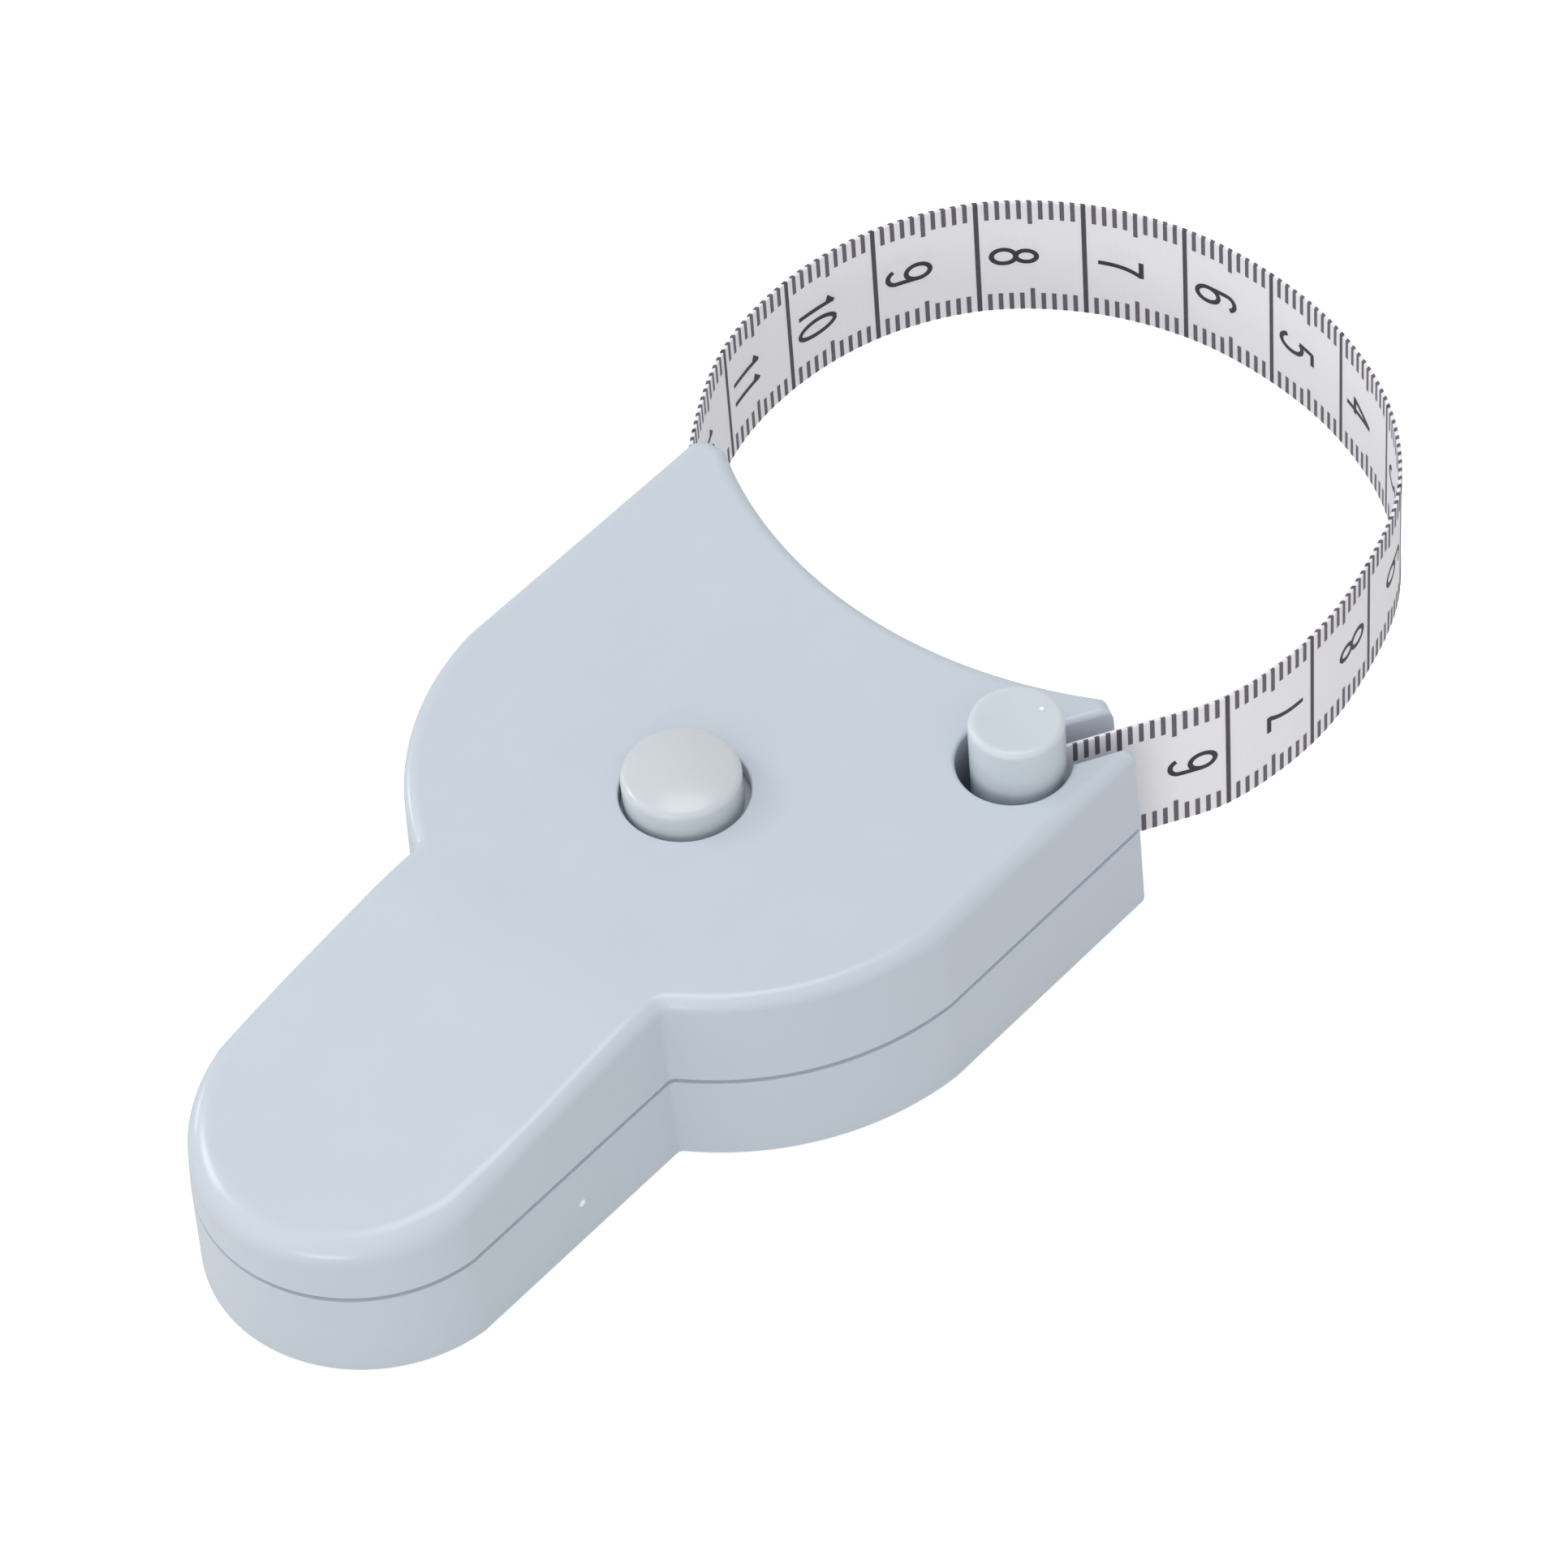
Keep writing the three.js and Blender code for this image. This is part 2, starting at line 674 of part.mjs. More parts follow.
const reelLow = floorThickness + washerThickness + reelRunningGap
const hubFloor = reelLow + reelFlangeThickness
const springLow = hubFloor + springFloorGap
const hubTop = tapeBottom + tapeWidth + reelRunningGap
const lipTop = hubTop - lipDrop
const lipLow = lipTop - lipThickness
const ringHigh = lipLow - brakeGap
const ringLow = ringHigh - brakeRingThickness
const coverHigh = ringLow - brakeRoom
const coverLow = coverHigh - springCoverThickness
const springHigh = coverLow - springCoverGap
const arborTop = coverHigh - arborShoulderDrop
const arborShape = revolve([
  [0, arborFootLow], [arborFootRadius - reelBoreGap, arborFootLow], [arborFootRadius - reelBoreGap, floorThickness],
  [arborRadius, floorThickness], [arborRadius, arborTop], [arborTipRadius, arborTop],
  [arborTipRadius, arborTop + arborTipHeight], [0, arborTop + arborTipHeight],
], 0, 0, smallSides)
const arborSlot = block(-arborSlotWidth / 2, arborSlotWidth / 2, arborRadius - arborSlotDepth, arborRadius + overrun,
  springLow - springFloorGap, arborTop + overrun)
const arbor = arborShape.subtract(arborSlot)
const washer = ring(0, 0, arborFootRadius, washerRadius, floorThickness, floorThickness + washerThickness, roundSides)

const packLow = tapeBottom
const hubInner = reelHubRadius - reelHubWall
const ledgeInner = hubInner - coverLedge
const reel = revolve([
  [arborRadius + reelBoreGap, reelLow], [reelFlangeRadius, reelLow], [reelFlangeRadius, hubFloor],
  [reelHubRadius, hubFloor], [reelHubRadius, hubTop], [hubInner, hubTop],
  [hubInner, coverLow], [ledgeInner, coverLow - coverLedge],
  [ledgeInner, hubFloor], [arborRadius + reelBoreGap, hubFloor],
], 0, 0, roundSides)

const springCover = ring(0, 0, springCoverBore, hubInner - springCoverGap / 2, coverLow, coverHigh, roundSides)

const plugOuter = hubInner - plugGap / 2
const plugInner = plugOuter - capPlugThickness
const reelCap = revolve([
  [capOpening, hubTop], [plugInner, hubTop], [plugInner, lipTop], [lipOpening, lipTop],
  [lipOpening, lipTop - lipThickness], [plugOuter, lipTop - lipThickness], [plugOuter, hubTop],
  [reelFlangeRadius, hubTop], [reelFlangeRadius, capTop], [capOpening, capTop],
], 0, 0, roundSides)

const packInner = reelHubRadius
const tapePack = ring(0, 0, packInner, packRadius, packLow, packLow + tapeWidth, roundSides)

// Mainspring, a flat spiral strip from the arbor out to the wall of the reel
const springOutermost = springOuterRadius - springStripThickness / 2 - springEndGap
const springPitch = (springOutermost - springInnerRadius) / springTurns
function spiralStrip() {
  const rings = []
  const steps = springTurns * 16
  const half = springStripThickness / 2
  for (let i = 0; i <= steps; i++) {
    const angle = 2 * Math.PI * springTurns * i / steps
    const radius = springInnerRadius + springPitch * springTurns * i / steps
    const x = Math.cos(angle)
    const y = Math.sin(angle)
    rings.push([
      new THREE.Vector3((radius + half) * x, (radius + half) * y, springLow),
      new THREE.Vector3((radius - half) * x, (radius - half) * y, springLow),
      new THREE.Vector3((radius - half) * x, (radius - half) * y, springHigh),
      new THREE.Vector3((radius + half) * x, (radius + half) * y, springHigh),
    ])
  }
  const cap = [[0, 1, 2], [0, 2, 3]]
  return solid(skin(rings, cap, cap))
}
const mainspring = spiralStrip()
console.log('least gap between the turns of the mainspring', (springPitch - springStripThickness).toFixed(3))

// Button with its brake ring and spring

const flangeHigh = caseHeight - roofThickness - buttonFlangeGap
const flangeLow = flangeHigh - buttonFlangeThickness
const shoulderZ = buttonTop - buttonCrown - buttonShoulder
const buttonBoreTop = buttonTop - buttonBoreDrop
function buttonProfile() {
  const profile = [[buttonBoreRadius, ringHigh], [buttonStemRadius, ringHigh], [buttonStemRadius, flangeLow],
    [buttonFlangeRadius, flangeLow], [buttonFlangeRadius, flangeHigh], [buttonRadius, flangeHigh]]
  const steps = 5
  for (let i = 0; i <= steps; i++) {
    const angle = Math.PI / 2 * i / steps
    const tilt = Math.cos(angle)
    profile.push([buttonRadius - buttonShoulder + buttonShoulder * tilt, shoulderZ + buttonShoulder * Math.sin(angle)])
  }
  const flat = buttonRadius - buttonShoulder
  const crownSteps = 4
  for (let i = 1; i < crownSteps; i++) {
    const share = i / crownSteps
    profile.push([flat * (1 - share), shoulderZ + buttonShoulder + buttonCrown * (1 - (1 - share) * (1 - share))])
  }
  profile.push([0, buttonTop], [0, buttonBoreTop], [buttonBoreRadius, buttonBoreTop])
  return profile
}
const button = revolve(buttonProfile(), buttonOffsetX, 0, roundSides)
const brakeRing = ring(buttonOffsetX, 0, brakeRingBore, brakeRingRadius, ringLow, ringHigh, roundSides)

// A coil whose ends lie flat between the arbor's shoulder and the button's bore
function coilSolid() {
  const low = arborTop + coilEndGap + coilWire / 2
  const high = buttonBoreTop - coilEndGap - coilWire / 2
  const steps = coilTurns * 12
  const sides = 6
  const rings = []
  const rise = (high - low) / coilTurns / (2 * Math.PI * coilRadius)
  for (let i = 0; i <= steps; i++) {
    const share = i / steps
    const angle = 2 * Math.PI * coilTurns * share
    const out = new THREE.Vector3(Math.cos(angle), Math.sin(angle), 0)
    const centre = out.clone().multiplyScalar(coilRadius).setZ(low + (high - low) * share)
    const up = new THREE.Vector3(Math.sin(angle) * rise, -Math.cos(angle) * rise, 1).normalize()
    const row = []
    for (let j = 0; j < sides; j++) {
      const turn = 2 * Math.PI * j / sides
      const point = centre.clone().addScaledVector(out, coilWire / 2 * Math.cos(turn))
      row.push(point.addScaledVector(up, -coilWire / 2 * Math.sin(turn)))
    }
    rings.push(row)
  }
  const cap = []
  for (let j = 1; j + 1 < sides; j++) cap.push([0, j, j + 1])
  const body = solid(skin(rings, cap, cap))
  console.log('least gap between the turns of the button spring', ((high - low) / coilTurns - coilWire).toFixed(3))
  return body
}
const buttonSpring = coilSolid()

// Peg with the pin that the end of the tape folds round

const pegLow = pocketFloor + pegFloorGap
const pegEdgeCut = pegEdgeRound * (1 - Math.SQRT1_2)
const pegShape = revolve([
  [0, pegLow], [pegRadius - pegEdgeRound, pegLow], [pegRadius, pegLow + pegEdgeRound],
  [pegRadius, pegTop - pegEdgeRound], [pegRadius - pegEdgeCut, pegTop - pegEdgeCut],
  [pegRadius - pegEdgeRound, pegTop], [0, pegTop],
], pegPlace.x, pegPlace.y, roundSides)
const tailLow = tapeBottom + tapeRise
const tailHigh = tailLow + tapeWidth
const pegSlit = turnedBlock(pegPlace.x, pegPlace.y, slotAngle, 0, pegRadius + overrun, -pegSlitWidth / 2,
  pegSlitWidth / 2, pegLow - overrun, tailHigh + slitEndGap)
const pegBore = disc(pegPlace.x, pegPlace.y, pegPinBore, pegLow - overrun, tailHigh + slitEndGap, smallSides)
const peg = pegShape.subtract(pegSlit).subtract(pegBore)
const pegPin = disc(pegPlace.x, pegPlace.y, pegPinRadius, tailLow - slitEndGap / 2, tailHigh, smallSides)
const hemRadius = pegPinRadius + tapeThickness
const tapeHem = ring(pegPlace.x, pegPlace.y, pegPinRadius, hemRadius, tailLow, tailHigh, smallSides)

// Materials

function look(colour, roughness, metalness) {
  return new THREE.MeshStandardMaterial({ color: colour, roughness, metalness })
}
const shellLook = look('#c3cdd8', 0.28, 0)
const buttonLook = look('#ccd2d8', 0.2, 0)
const pegLook = look('#c6ced3', 0.3, 0)
const tapeLook = look('#d9d7dd', 0.6, 0)
const reelLook = look('#e6e6e2', 0.4, 0)
const innerLook = look('#8d959c', 0.45, 0)
const steelLook = look('#a9adb2', 0.35, 1)
const springLook = look('#70757b', 0.35, 1)

const cloth_tape_measure = new THREE.Group()

function add(name, body, material) {
  const mesh = new THREE.Mesh(geometryOf(body), material)
  mesh.name = name
  cloth_tape_measure.add(mesh)
}

add('upper_shell', upperShell, shellLook)
add('lower_shell', lowerShell, shellLook)
add('arbor', arbor, innerLook)
add('thrust_washer', washer, innerLook)
add('reel', reel, reelLook)
add('reel_cap', reelCap, reelLook)
add('spring_cover', springCover, innerLook)
add('mainspring', mainspring, springLook)
add('tape_pack', tapePack, tapeLook)
add('tape_lead', tapeLead, tapeLook)
add('tape_loop', tapeLoop, tapeLook)
add('tape_tail', tapeTail, tapeLook)
add('tape_hem', tapeHem, tapeLook)
add('peg', peg, pegLook)
add('peg_pin', pegPin, steelLook)
add('button', button, buttonLook)
add('brake_ring', brakeRing, innerLook)
add('button_spring', buttonSpring, springLook)
screwPlaces.forEach(([x, y], i) => add(`case_screw_${i + 1}`, screwSolid(x, y), steelLook))

export default cloth_tape_measure
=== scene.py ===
# Dresses a retractable cloth tape measure: the moulded case, its button and peg,
# the printed tape with its winding, and the studio round it.
import math

import bmesh
import bpy
from bpy.props import FloatProperty, FloatVectorProperty, PointerProperty
from mathutils import Matrix, Vector


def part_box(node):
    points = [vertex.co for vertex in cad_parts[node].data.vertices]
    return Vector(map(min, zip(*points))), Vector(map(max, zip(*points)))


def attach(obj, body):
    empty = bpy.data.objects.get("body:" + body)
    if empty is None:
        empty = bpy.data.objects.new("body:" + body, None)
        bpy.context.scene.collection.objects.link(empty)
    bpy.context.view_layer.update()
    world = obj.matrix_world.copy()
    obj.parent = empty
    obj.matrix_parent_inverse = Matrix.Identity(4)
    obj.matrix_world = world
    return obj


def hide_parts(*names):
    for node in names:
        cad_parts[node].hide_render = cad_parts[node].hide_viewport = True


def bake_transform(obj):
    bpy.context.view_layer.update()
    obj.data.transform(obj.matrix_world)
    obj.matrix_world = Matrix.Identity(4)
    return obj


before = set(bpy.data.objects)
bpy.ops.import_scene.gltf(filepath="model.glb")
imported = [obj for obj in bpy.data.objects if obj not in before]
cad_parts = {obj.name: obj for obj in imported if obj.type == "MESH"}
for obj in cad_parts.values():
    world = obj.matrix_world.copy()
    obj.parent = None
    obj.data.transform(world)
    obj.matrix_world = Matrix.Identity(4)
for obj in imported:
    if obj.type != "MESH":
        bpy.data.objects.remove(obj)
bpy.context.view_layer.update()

bl_info = {
    "name": "Cloth Tape Measure",
    "version": (1, 0, 0),
    "blender": (4, 5, 0),
    "location": "3D View > Sidebar > Tape Measure",
    "description": "Builds a retractable cloth tape measure on its solid frame",
    "category": "Object",
}

MM = 0.001

# The case seen from above, in millimetres, as its solids have it
HEAD_HALF = 27.4
DRUM_RADIUS = 27.55
DRUM_CENTRE = 4.9
GRIP_HALF = 14.27
GRIP_END_RADIUS = 14.4
GRIP_REACH = 55.6
MOUTH_RADIUS = 44.37
MOUTH_CENTRE = Vector((0, 25.5 + MOUTH_RADIUS))
NECK_ROUND = 1.0
LEFT_TIP = 3.2
LEFT_ROUND = 1.9
LEFT_INNER_ROUND = 0.8
RIGHT_OUTER_ROUND = 0.5
RIGHT_INNER_ROUND = 1.0
SIDE_FLARE = 0.3
SIDE_DRAFT = 0.15

# Its heights
PARTING = 9.1
FLOOR = 1.6
ROOF = 1.5
RIM = 0.85
TONGUE_GAP = 0.3
TONGUE = 1.0
FALL_START = 19.6
FALL_LENGTH = 5.0
FALL_SLOPE = 0.133
FALL_STEPS = 10
END_ROUND_FROM = -34.0
END_ROUND_OVER = 14.0

# The pocket and slot of the peg, the slit of the tape and the hole of the button
POCKET = Vector((19.62, 20.07))
POCKET_RADIUS = 5.05
POCKET_WALL = 1.8
POCKET_FLOOR = 4.5
SLOT_WIDTH = 4.4
SLOT_FAR_WALL = 1.95
SLOT_TURN = math.radians(60)
SLIT_WIDTH = 1.7
SLIT_INSET = 1.0
SLIT_DROP = 2.48
SLIT_TURN = math.radians(131)
BUTTON_HOLE = 5.69
BUTTON_HOLE_ROUND = 0.22
BUTTON_CENTRE = Vector((-0.25, 0))

# Where the shells meet: the tongue's shoulder stops this far short, and the outer edges are broken this much
SEAM = 0.04
NICK = 0.05

# The button under the case's top: its hollow stem and the flange that holds it in
STEM_BORE = 2.9
STEM_RADIUS = 4.2
STEM_HOLLOW = 6.8
FLANGE_RADIUS = 6.7
FLANGE_THICKNESS = 1.3
FLANGE_GAP = 0.3

# The coil under the button
COIL_RADIUS = 2.1
COIL_WIRE = 0.45
COIL_TURNS = 4

# Marks where the moulds were fed: on the peg's top, and on the side of the grip at a place along and up
GATE = Vector((20.66, 22.79))
GATE_RADIUS = 0.24
SHELL_GATE = (-30.5, 4.6)
SHELL_GATE_RADIUS = 0.36

# The tape: its width and heights, its winding, and its route from there to the pin in the peg
TAPE_WIDTH = 13.7
TAPE_ROOM = 0.35
TAPE_LOW = 3.1
TAPE_RISE = 2.2
PACK_RADIUS = 18.6
HUB_RADIUS = 13.0
TURNS = 13
SEAT_GAP = 0.3
SLIT_BEND = Vector((2.9, -4.8))
SLIT_STRAIGHT = 3.4
SLOT_STRAIGHT = 3.0
PEG_PULL = 0.36
PIN_RADIUS = 0.75
PIN_BORE = 1.6
PIN_GAP = 0.02
PEG_SLIT_HALF = 0.55
HEM_DEGREES = (72, 112, 152, 192, 232, 272, 308)
LOOP_RADIUS = 32.5
LOOP_CENTRE_X = -2.2
LOOP_RISE = 18.3
LOOP_SHARES = (
    (-0.972, -0.175), (-1.009, 0.126), (-0.948, 0.425), (-0.786, 0.686), (-0.537, 0.868),
    (-0.243, 0.963), (0.066, 0.968), (0.362, 0.902), (0.64, 0.754), (0.849, 0.526),
    (0.958, 0.242), (1.002, -0.046), (0.962, -0.348),
)

# Material slots of the print
TICK_INK, LINE_INK, DIGIT_INK = range(3)

# Where the two printed scales have their zero, as a length of tape from the winding
INNER_ZERO = 159.24
OUTER_ZERO = 229.15

# The slot hides the outer scale's numbers below this one, and no number stands nearer to the hem than this
OUTER_FIRST = 6
HEM_MARGIN = 1.5

# The screws, their posts and holes, and the ribs across the grip
SCREWS = ((0, -47.5), (0, -28.5), (-16.6, 18.9), (22.4, 6.6))
POST_RADIUS = 2.6
POST_GAP = 0.02
UPPER_POST_GAP = 0.3
WELL_RADIUS = 2.15
WELL_TOP = 2.5
SHANK_HOLE = 1.15
PILOT_TOP = 12.25
ARBOR_SEAT = 5.0
RIBS = (-24.2, -35.0, -41.0)
RIB_HALF = 0.55
RIB_HEIGHT = 4.2

# Radius and height of a screw's corners, from its rounded head up to its point, and its cross recess
SCREW_PROFILE = (
    (0, 1.2), (1.5, 1.2), (1.76, 1.28), (1.9, 1.55), (1.9, 2.5), (0.9, 2.5), (0.9, 11.1), (0, 12.0),
)
RECESS_REACH = 0.95
RECESS_HALF = 0.22
RECESS_HEIGHTS = (0.6, 1.95)

# Degrees past which an edge between two faces is shown sharp
SHARP = 32


def size_prop(name, description, default):
    return FloatProperty(name=name, description=description, default=default, min=0, unit="LENGTH",
                         subtype="DISTANCE", precision=5)


def colour_prop(name, description, hex_value):
    return FloatVectorProperty(name=name, description=description, default=linear(hex_value), size=4,
                               min=0, max=1, subtype="COLOR")


def linear(hex_value):
    """The linear colour of an sRGB hex value."""
    parts = [int(hex_value[i:i + 2], 16) / 255 for i in (1, 3, 5)]
    return tuple(c / 12.92 if c <= 0.04045 else ((c + 0.055) / 1.055) ** 2.4 for c in parts) + (1.0,)


class TapeMeasureSizes(bpy.types.PropertyGroup):
    """Sizes of the dressed pieces"""
    case_height: size_prop("Case height", "From the underside to the level top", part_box("upper_shell")[1].z)
    wall: size_prop("Wall", "Thickness of the moulded walls", 0.0019)
    top_round: size_prop("Top edge", "Radius of the rounded upper edge", 0.0014)
    end_round: size_prop("Grip end edge", "Radius of the upper edge round the end of the grip", 0.0023)
    bottom_round: size_prop("Bottom edge", "Radius of the lower edge", 0.00025)
    parting_gap: size_prop("Parting line", "Gap between the two shells", 0.0005)
    rim_round: size_prop("Pocket rim", "Radius of the rim of the pocket", 0.0004)
    slot_round: size_prop("Slot rim", "Radius of the rim along the slot", 0.0006)
    button_top: size_prop("Button top", "Height of the button's crown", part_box("button")[1].z)
    button_radius: size_prop("Button radius", "Radius of the button above the case", 0.0052)
    button_dome: size_prop("Button dome", "Rise of the button's dome over its full width", 0.0009)
    button_round: size_prop("Button edge", "Radius between the button's dome and its side", 0.0008)
    peg_top: size_prop("Peg top", "Height of the peg's top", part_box("peg")[1].z)
    peg_radius: size_prop("Peg radius", "Radius of the peg", 0.00415)
    peg_round: size_prop("Peg edge", "Radius of the peg's upper edge", 0.0006)
    peg_dish: size_prop("Peg dish", "Depth of the dished top of the peg", 0.0002)
    groove_depth: size_prop("Groove depth", "Depth of the groove between the two shells", 0.0003)
    tape_thickness: size_prop("Tape thickness", "Thickness of the coated cloth", 0.0003)
    ink_thickness: size_prop("Ink", "Thickness of the printed ink", 0.000012)
    line_width: size_prop("Line width", "Width of the printed centimetre lines", 0.00045)
    tick_width: size_prop("Tick width", "Width of the printed millimetre ticks", 0.00042)
    tick_length: size_prop("Tick length", "Length of a millimetre tick", 0.0021)
    half_tick_length: size_prop("Half tick length", "Length of a five millimetre tick", 0.0027)
    digit_height: size_prop("Digit height",
                            "Height of the printed numbers between the middles of their strokes", 0.0042)
    digit_stroke: size_prop("Digit stroke", "Width of the strokes of the numbers", 0.00049)
    digit_pitch: size_prop("Digit pitch", "From one digit of a number to the next", 0.0024)
    digit_foot: size_prop("Digit foot", "From a centimetre line to the foot of its number", 0.00128)


class TapeMeasureColours(bpy.types.PropertyGroup):
    """Colours of the finishes"""
    shell: colour_prop("Case", "Pale blue-grey moulded ABS", "#C7D0DA")
    button: colour_prop("Button", "Slightly more neutral moulded ABS", "#CCD2D7")
    peg: colour_prop("Peg", "The peg's moulded ABS", "#CED6DD")
    # The gate marks' near white is a painted highlight on their small raised spots
    gate: colour_prop("Gate marks", "Near white gate marks: painted highlight on the raised spots", "#F6F8FA")
    tape: colour_prop("Tape", "Coated cloth of the tape", "#F3F1F6")
    tick_ink: colour_prop("Tick ink", "Purple-grey ink of the ticks", "#625D68")
    line_ink: colour_prop("Line ink", "Darker ink of the centimetre lines", "#4A4550")
    digit_ink: colour_prop("Number ink", "Near black ink of the numbers", "#2E2C34")
    reel: colour_prop("Reel", "White acetal of the reel", "#E6E6E1")
    inner: colour_prop("Inner parts", "Grey acetal of the arbor, washer and brake", "#8D959C")
    spring: colour_prop("Springs", "Blued spring steel", "#6F757C")
    zinc: colour_prop("Screws", "Zinc plated steel", "#B4B8BC")
    floor: colour_prop("Floor", "White opal light table", "#F7F7F7")


# Light of the studio: the soft boxes, a pale tent that grows brighter from its edge to its front, and the
# light table, which lies just under the case
OVERHEAD_POWER = 2.0
KEY_POWER = 2.1
FRONT_POWER = 0.85
LEFT_POWER = 0.5
TENT_LIGHT = 0.595
TENT_FRONT = (0.5, -0.87, 0.25)
TENT_FRONT_LIGHT = 0.38
TENT_EDGE = -0.2
TABLE_BOUNCE = 0.4
TABLE_BACKLIGHT = 0.315
TABLE_SHADE = 0.45
TABLE_GLOW = 0.75
TABLE_DROP = 0.00003

# The camera, fitted to the photograph's view
LENS = 162.4977
SENSOR = 36.0
CAMERA_PLACE = (0.28606791, -0.27486544, 0.47021487)
CAMERA_DEGREES = (41.20930638, 3.25317045, 41.21746187)


def sizes():
    return bpy.context.scene.tape_measure_sizes


def colours():
    return bpy.context.scene.tape_measure_colours


# Outline of the case

def arc(centre, radius, start, end, steps):
    return [centre + radius * Vector((math.cos(start + (end - start) * i / steps),
                                      math.sin(start + (end - start) * i / steps))) for i in range(steps + 1)]


def corner(at, back, ahead, radius):
    """Points of the round between two directions that meet in a corner, and how far it runs along each."""
    u, v = back.normalized(), ahead.normalized()
    half = math.acos(max(-1.0, min(1.0, u.dot(v)))) / 2
    run = radius / math.tan(half)
    centre = at + (u + v).normalized() * (radius / math.sin(half))
    first, last = at + u * run - centre, at + v * run - centre
    start = math.atan2(first.y, first.x)
    turn = (math.atan2(last.y, last.x) - start + math.pi) % (2 * math.pi) - math.pi
    return arc(centre, radius, start, start + turn, 8), run


SLOT_ALONG = Vector((math.cos(SLOT_TURN), math.sin(SLOT_TURN)))
SLOT_ACROSS = Vector((-math.sin(SLOT_TURN), math.cos(SLOT_TURN)))
LEFT_REACH = MOUTH_CENTRE.y - math.sqrt(MOUTH_RADIUS ** 2 - (HEAD_HALF - LEFT_TIP) ** 2)
SLIT = Vector((SLIT_INSET - HEAD_HALF, LEFT_REACH - SLIT_DROP))
SLIT_ALONG = Vector((math.cos(SLIT_TURN), math.sin(SLIT_TURN)))
TO_WALL = MOUTH_CENTRE.dot(SLOT_ACROSS) - (POCKET.dot(SLOT_ACROSS) + SLOT_WIDTH / 2 + SLOT_FAR_WALL)
RIGHT_REACH = MOUTH_CENTRE.dot(SLOT_ALONG) - math.sqrt(MOUTH_RADIUS ** 2 - TO_WALL ** 2)


def outline(inset):
    """The case's outline moved inwards: the head from neck to neck, then the grip."""
    half, grip = HEAD_HALF - inset, GRIP_HALF - inset
    drum, end, mouth = DRUM_RADIUS - inset, GRIP_END_RADIUS - inset, MOUTH_RADIUS + inset
    centre, end_centre = Vector((0, DRUM_CENTRE)), Vector((0, GRIP_END_RADIUS - GRIP_REACH))

    def shrink(radius):
        return max(radius - inset, 0.02)

    neck_y = DRUM_CENTRE - math.sqrt(drum ** 2 - grip ** 2)
    neck_angle = math.atan2(neck_y - DRUM_CENTRE, grip)
    kink_angle = math.atan2(-math.sqrt(drum ** 2 - half ** 2), half)
    neck, neck_run = corner(Vector((grip, neck_y)), Vector((0, -1)),
                            Vector((-math.sin(neck_angle), math.cos(neck_angle))), NECK_ROUND + inset)
    neck_angle += neck_run / drum

    reach = RIGHT_REACH - inset
    near_tip = Vector((half, (reach - half * SLOT_ALONG.x) / SLOT_ALONG.y))
    past_centre = reach - MOUTH_CENTRE.dot(SLOT_ALONG)
    across = MOUTH_CENTRE.dot(SLOT_ACROSS) - math.sqrt(mouth ** 2 - past_centre ** 2)
    far_tip = SLOT_ALONG * reach + SLOT_ACROSS * across
    far_angle = math.atan2(far_tip.y - MOUTH_CENTRE.y, far_tip.x)
    near, _ = corner(near_tip, Vector((0, -1)), SLOT_ACROSS, shrink(RIGHT_OUTER_ROUND))
    far, far_run = corner(far_tip, -SLOT_ACROSS, Vector((math.sin(far_angle), -math.cos(far_angle))),
                          shrink(RIGHT_INNER_ROUND))

    left_y = LEFT_REACH - inset
    left_x = -math.sqrt(mouth ** 2 - (MOUTH_CENTRE.y - left_y) ** 2)
    left_angle = math.atan2(left_y - MOUTH_CENTRE.y, left_x)
    inner, inner_run = corner(Vector((left_x, left_y)), Vector((-math.sin(left_angle), math.cos(left_angle))),
                              Vector((-1, 0)), shrink(LEFT_INNER_ROUND))
    outer, _ = corner(Vector((-half, left_y)), Vector((1, 0)), Vector((0, -1)), shrink(LEFT_ROUND))

    drum_arc = arc(centre, drum, neck_angle, kink_angle, 40)
    mouth_arc = arc(MOUTH_CENTRE, mouth, far_angle - far_run / mouth, left_angle + inner_run / mouth, 72)
    mirrored = [Vector((-p.x, p.y)) for p in reversed(neck + drum_arc[1:])]
    head = neck + drum_arc[1:] + near + far + mouth_arc[1:-1] + inner + outer + mirrored

    side_y = end_centre.y - math.sqrt(end ** 2 - grip ** 2)
    heights = [-FALL_START - FALL_LENGTH * i / FALL_STEPS for i in range(FALL_STEPS + 1)]
    heights += [heights[-1] + (side_y - heights[-1]) * i / 4 for i in range(1, 4)]
    end_angle = math.atan2(side_y - end_centre.y, -grip)
    end_arc = arc(end_centre, end, end_angle, -math.pi - end_angle, 56)
    grips = [Vector((-grip, y)) for y in heights] + end_arc + [Vector((grip, y)) for y in reversed(heights)]
    return head, grips


def top_at(y):
    """Height of the top face: level over the head, falling along the grip."""
    past = -FALL_START - y
    full = sizes().case_height / MM
    if past <= 0:
        return full
    if past < FALL_LENGTH:
        return full - FALL_SLOPE * past ** 2 / (2 * FALL_LENGTH)
    return full - FALL_SLOPE * (past - FALL_LENGTH / 2)


def lean_at(height):
    """How far the outer side stands in at a height, as it leans in from the underside to the top."""
    return (SIDE_FLARE + SIDE_DRAFT) * height / (sizes().case_height / MM) - SIDE_FLARE


def end_share(y):
    """How far the upper edge has grown from its radius over the case to its radius at the grip's end."""
    share = max(0.0, min(1.0, (END_ROUND_FROM - y) / END_ROUND_OVER))
    return share * share * (3 - 2 * share)


def level(height):
    return lambda y: height


def below(drop, end_drop=None):
    """A height under the top face, which may change to another one round the grip's end."""
    more = 0.0 if end_drop is None else end_drop - drop
    return lambda y: top_at(y) - drop - more * end_share(y)


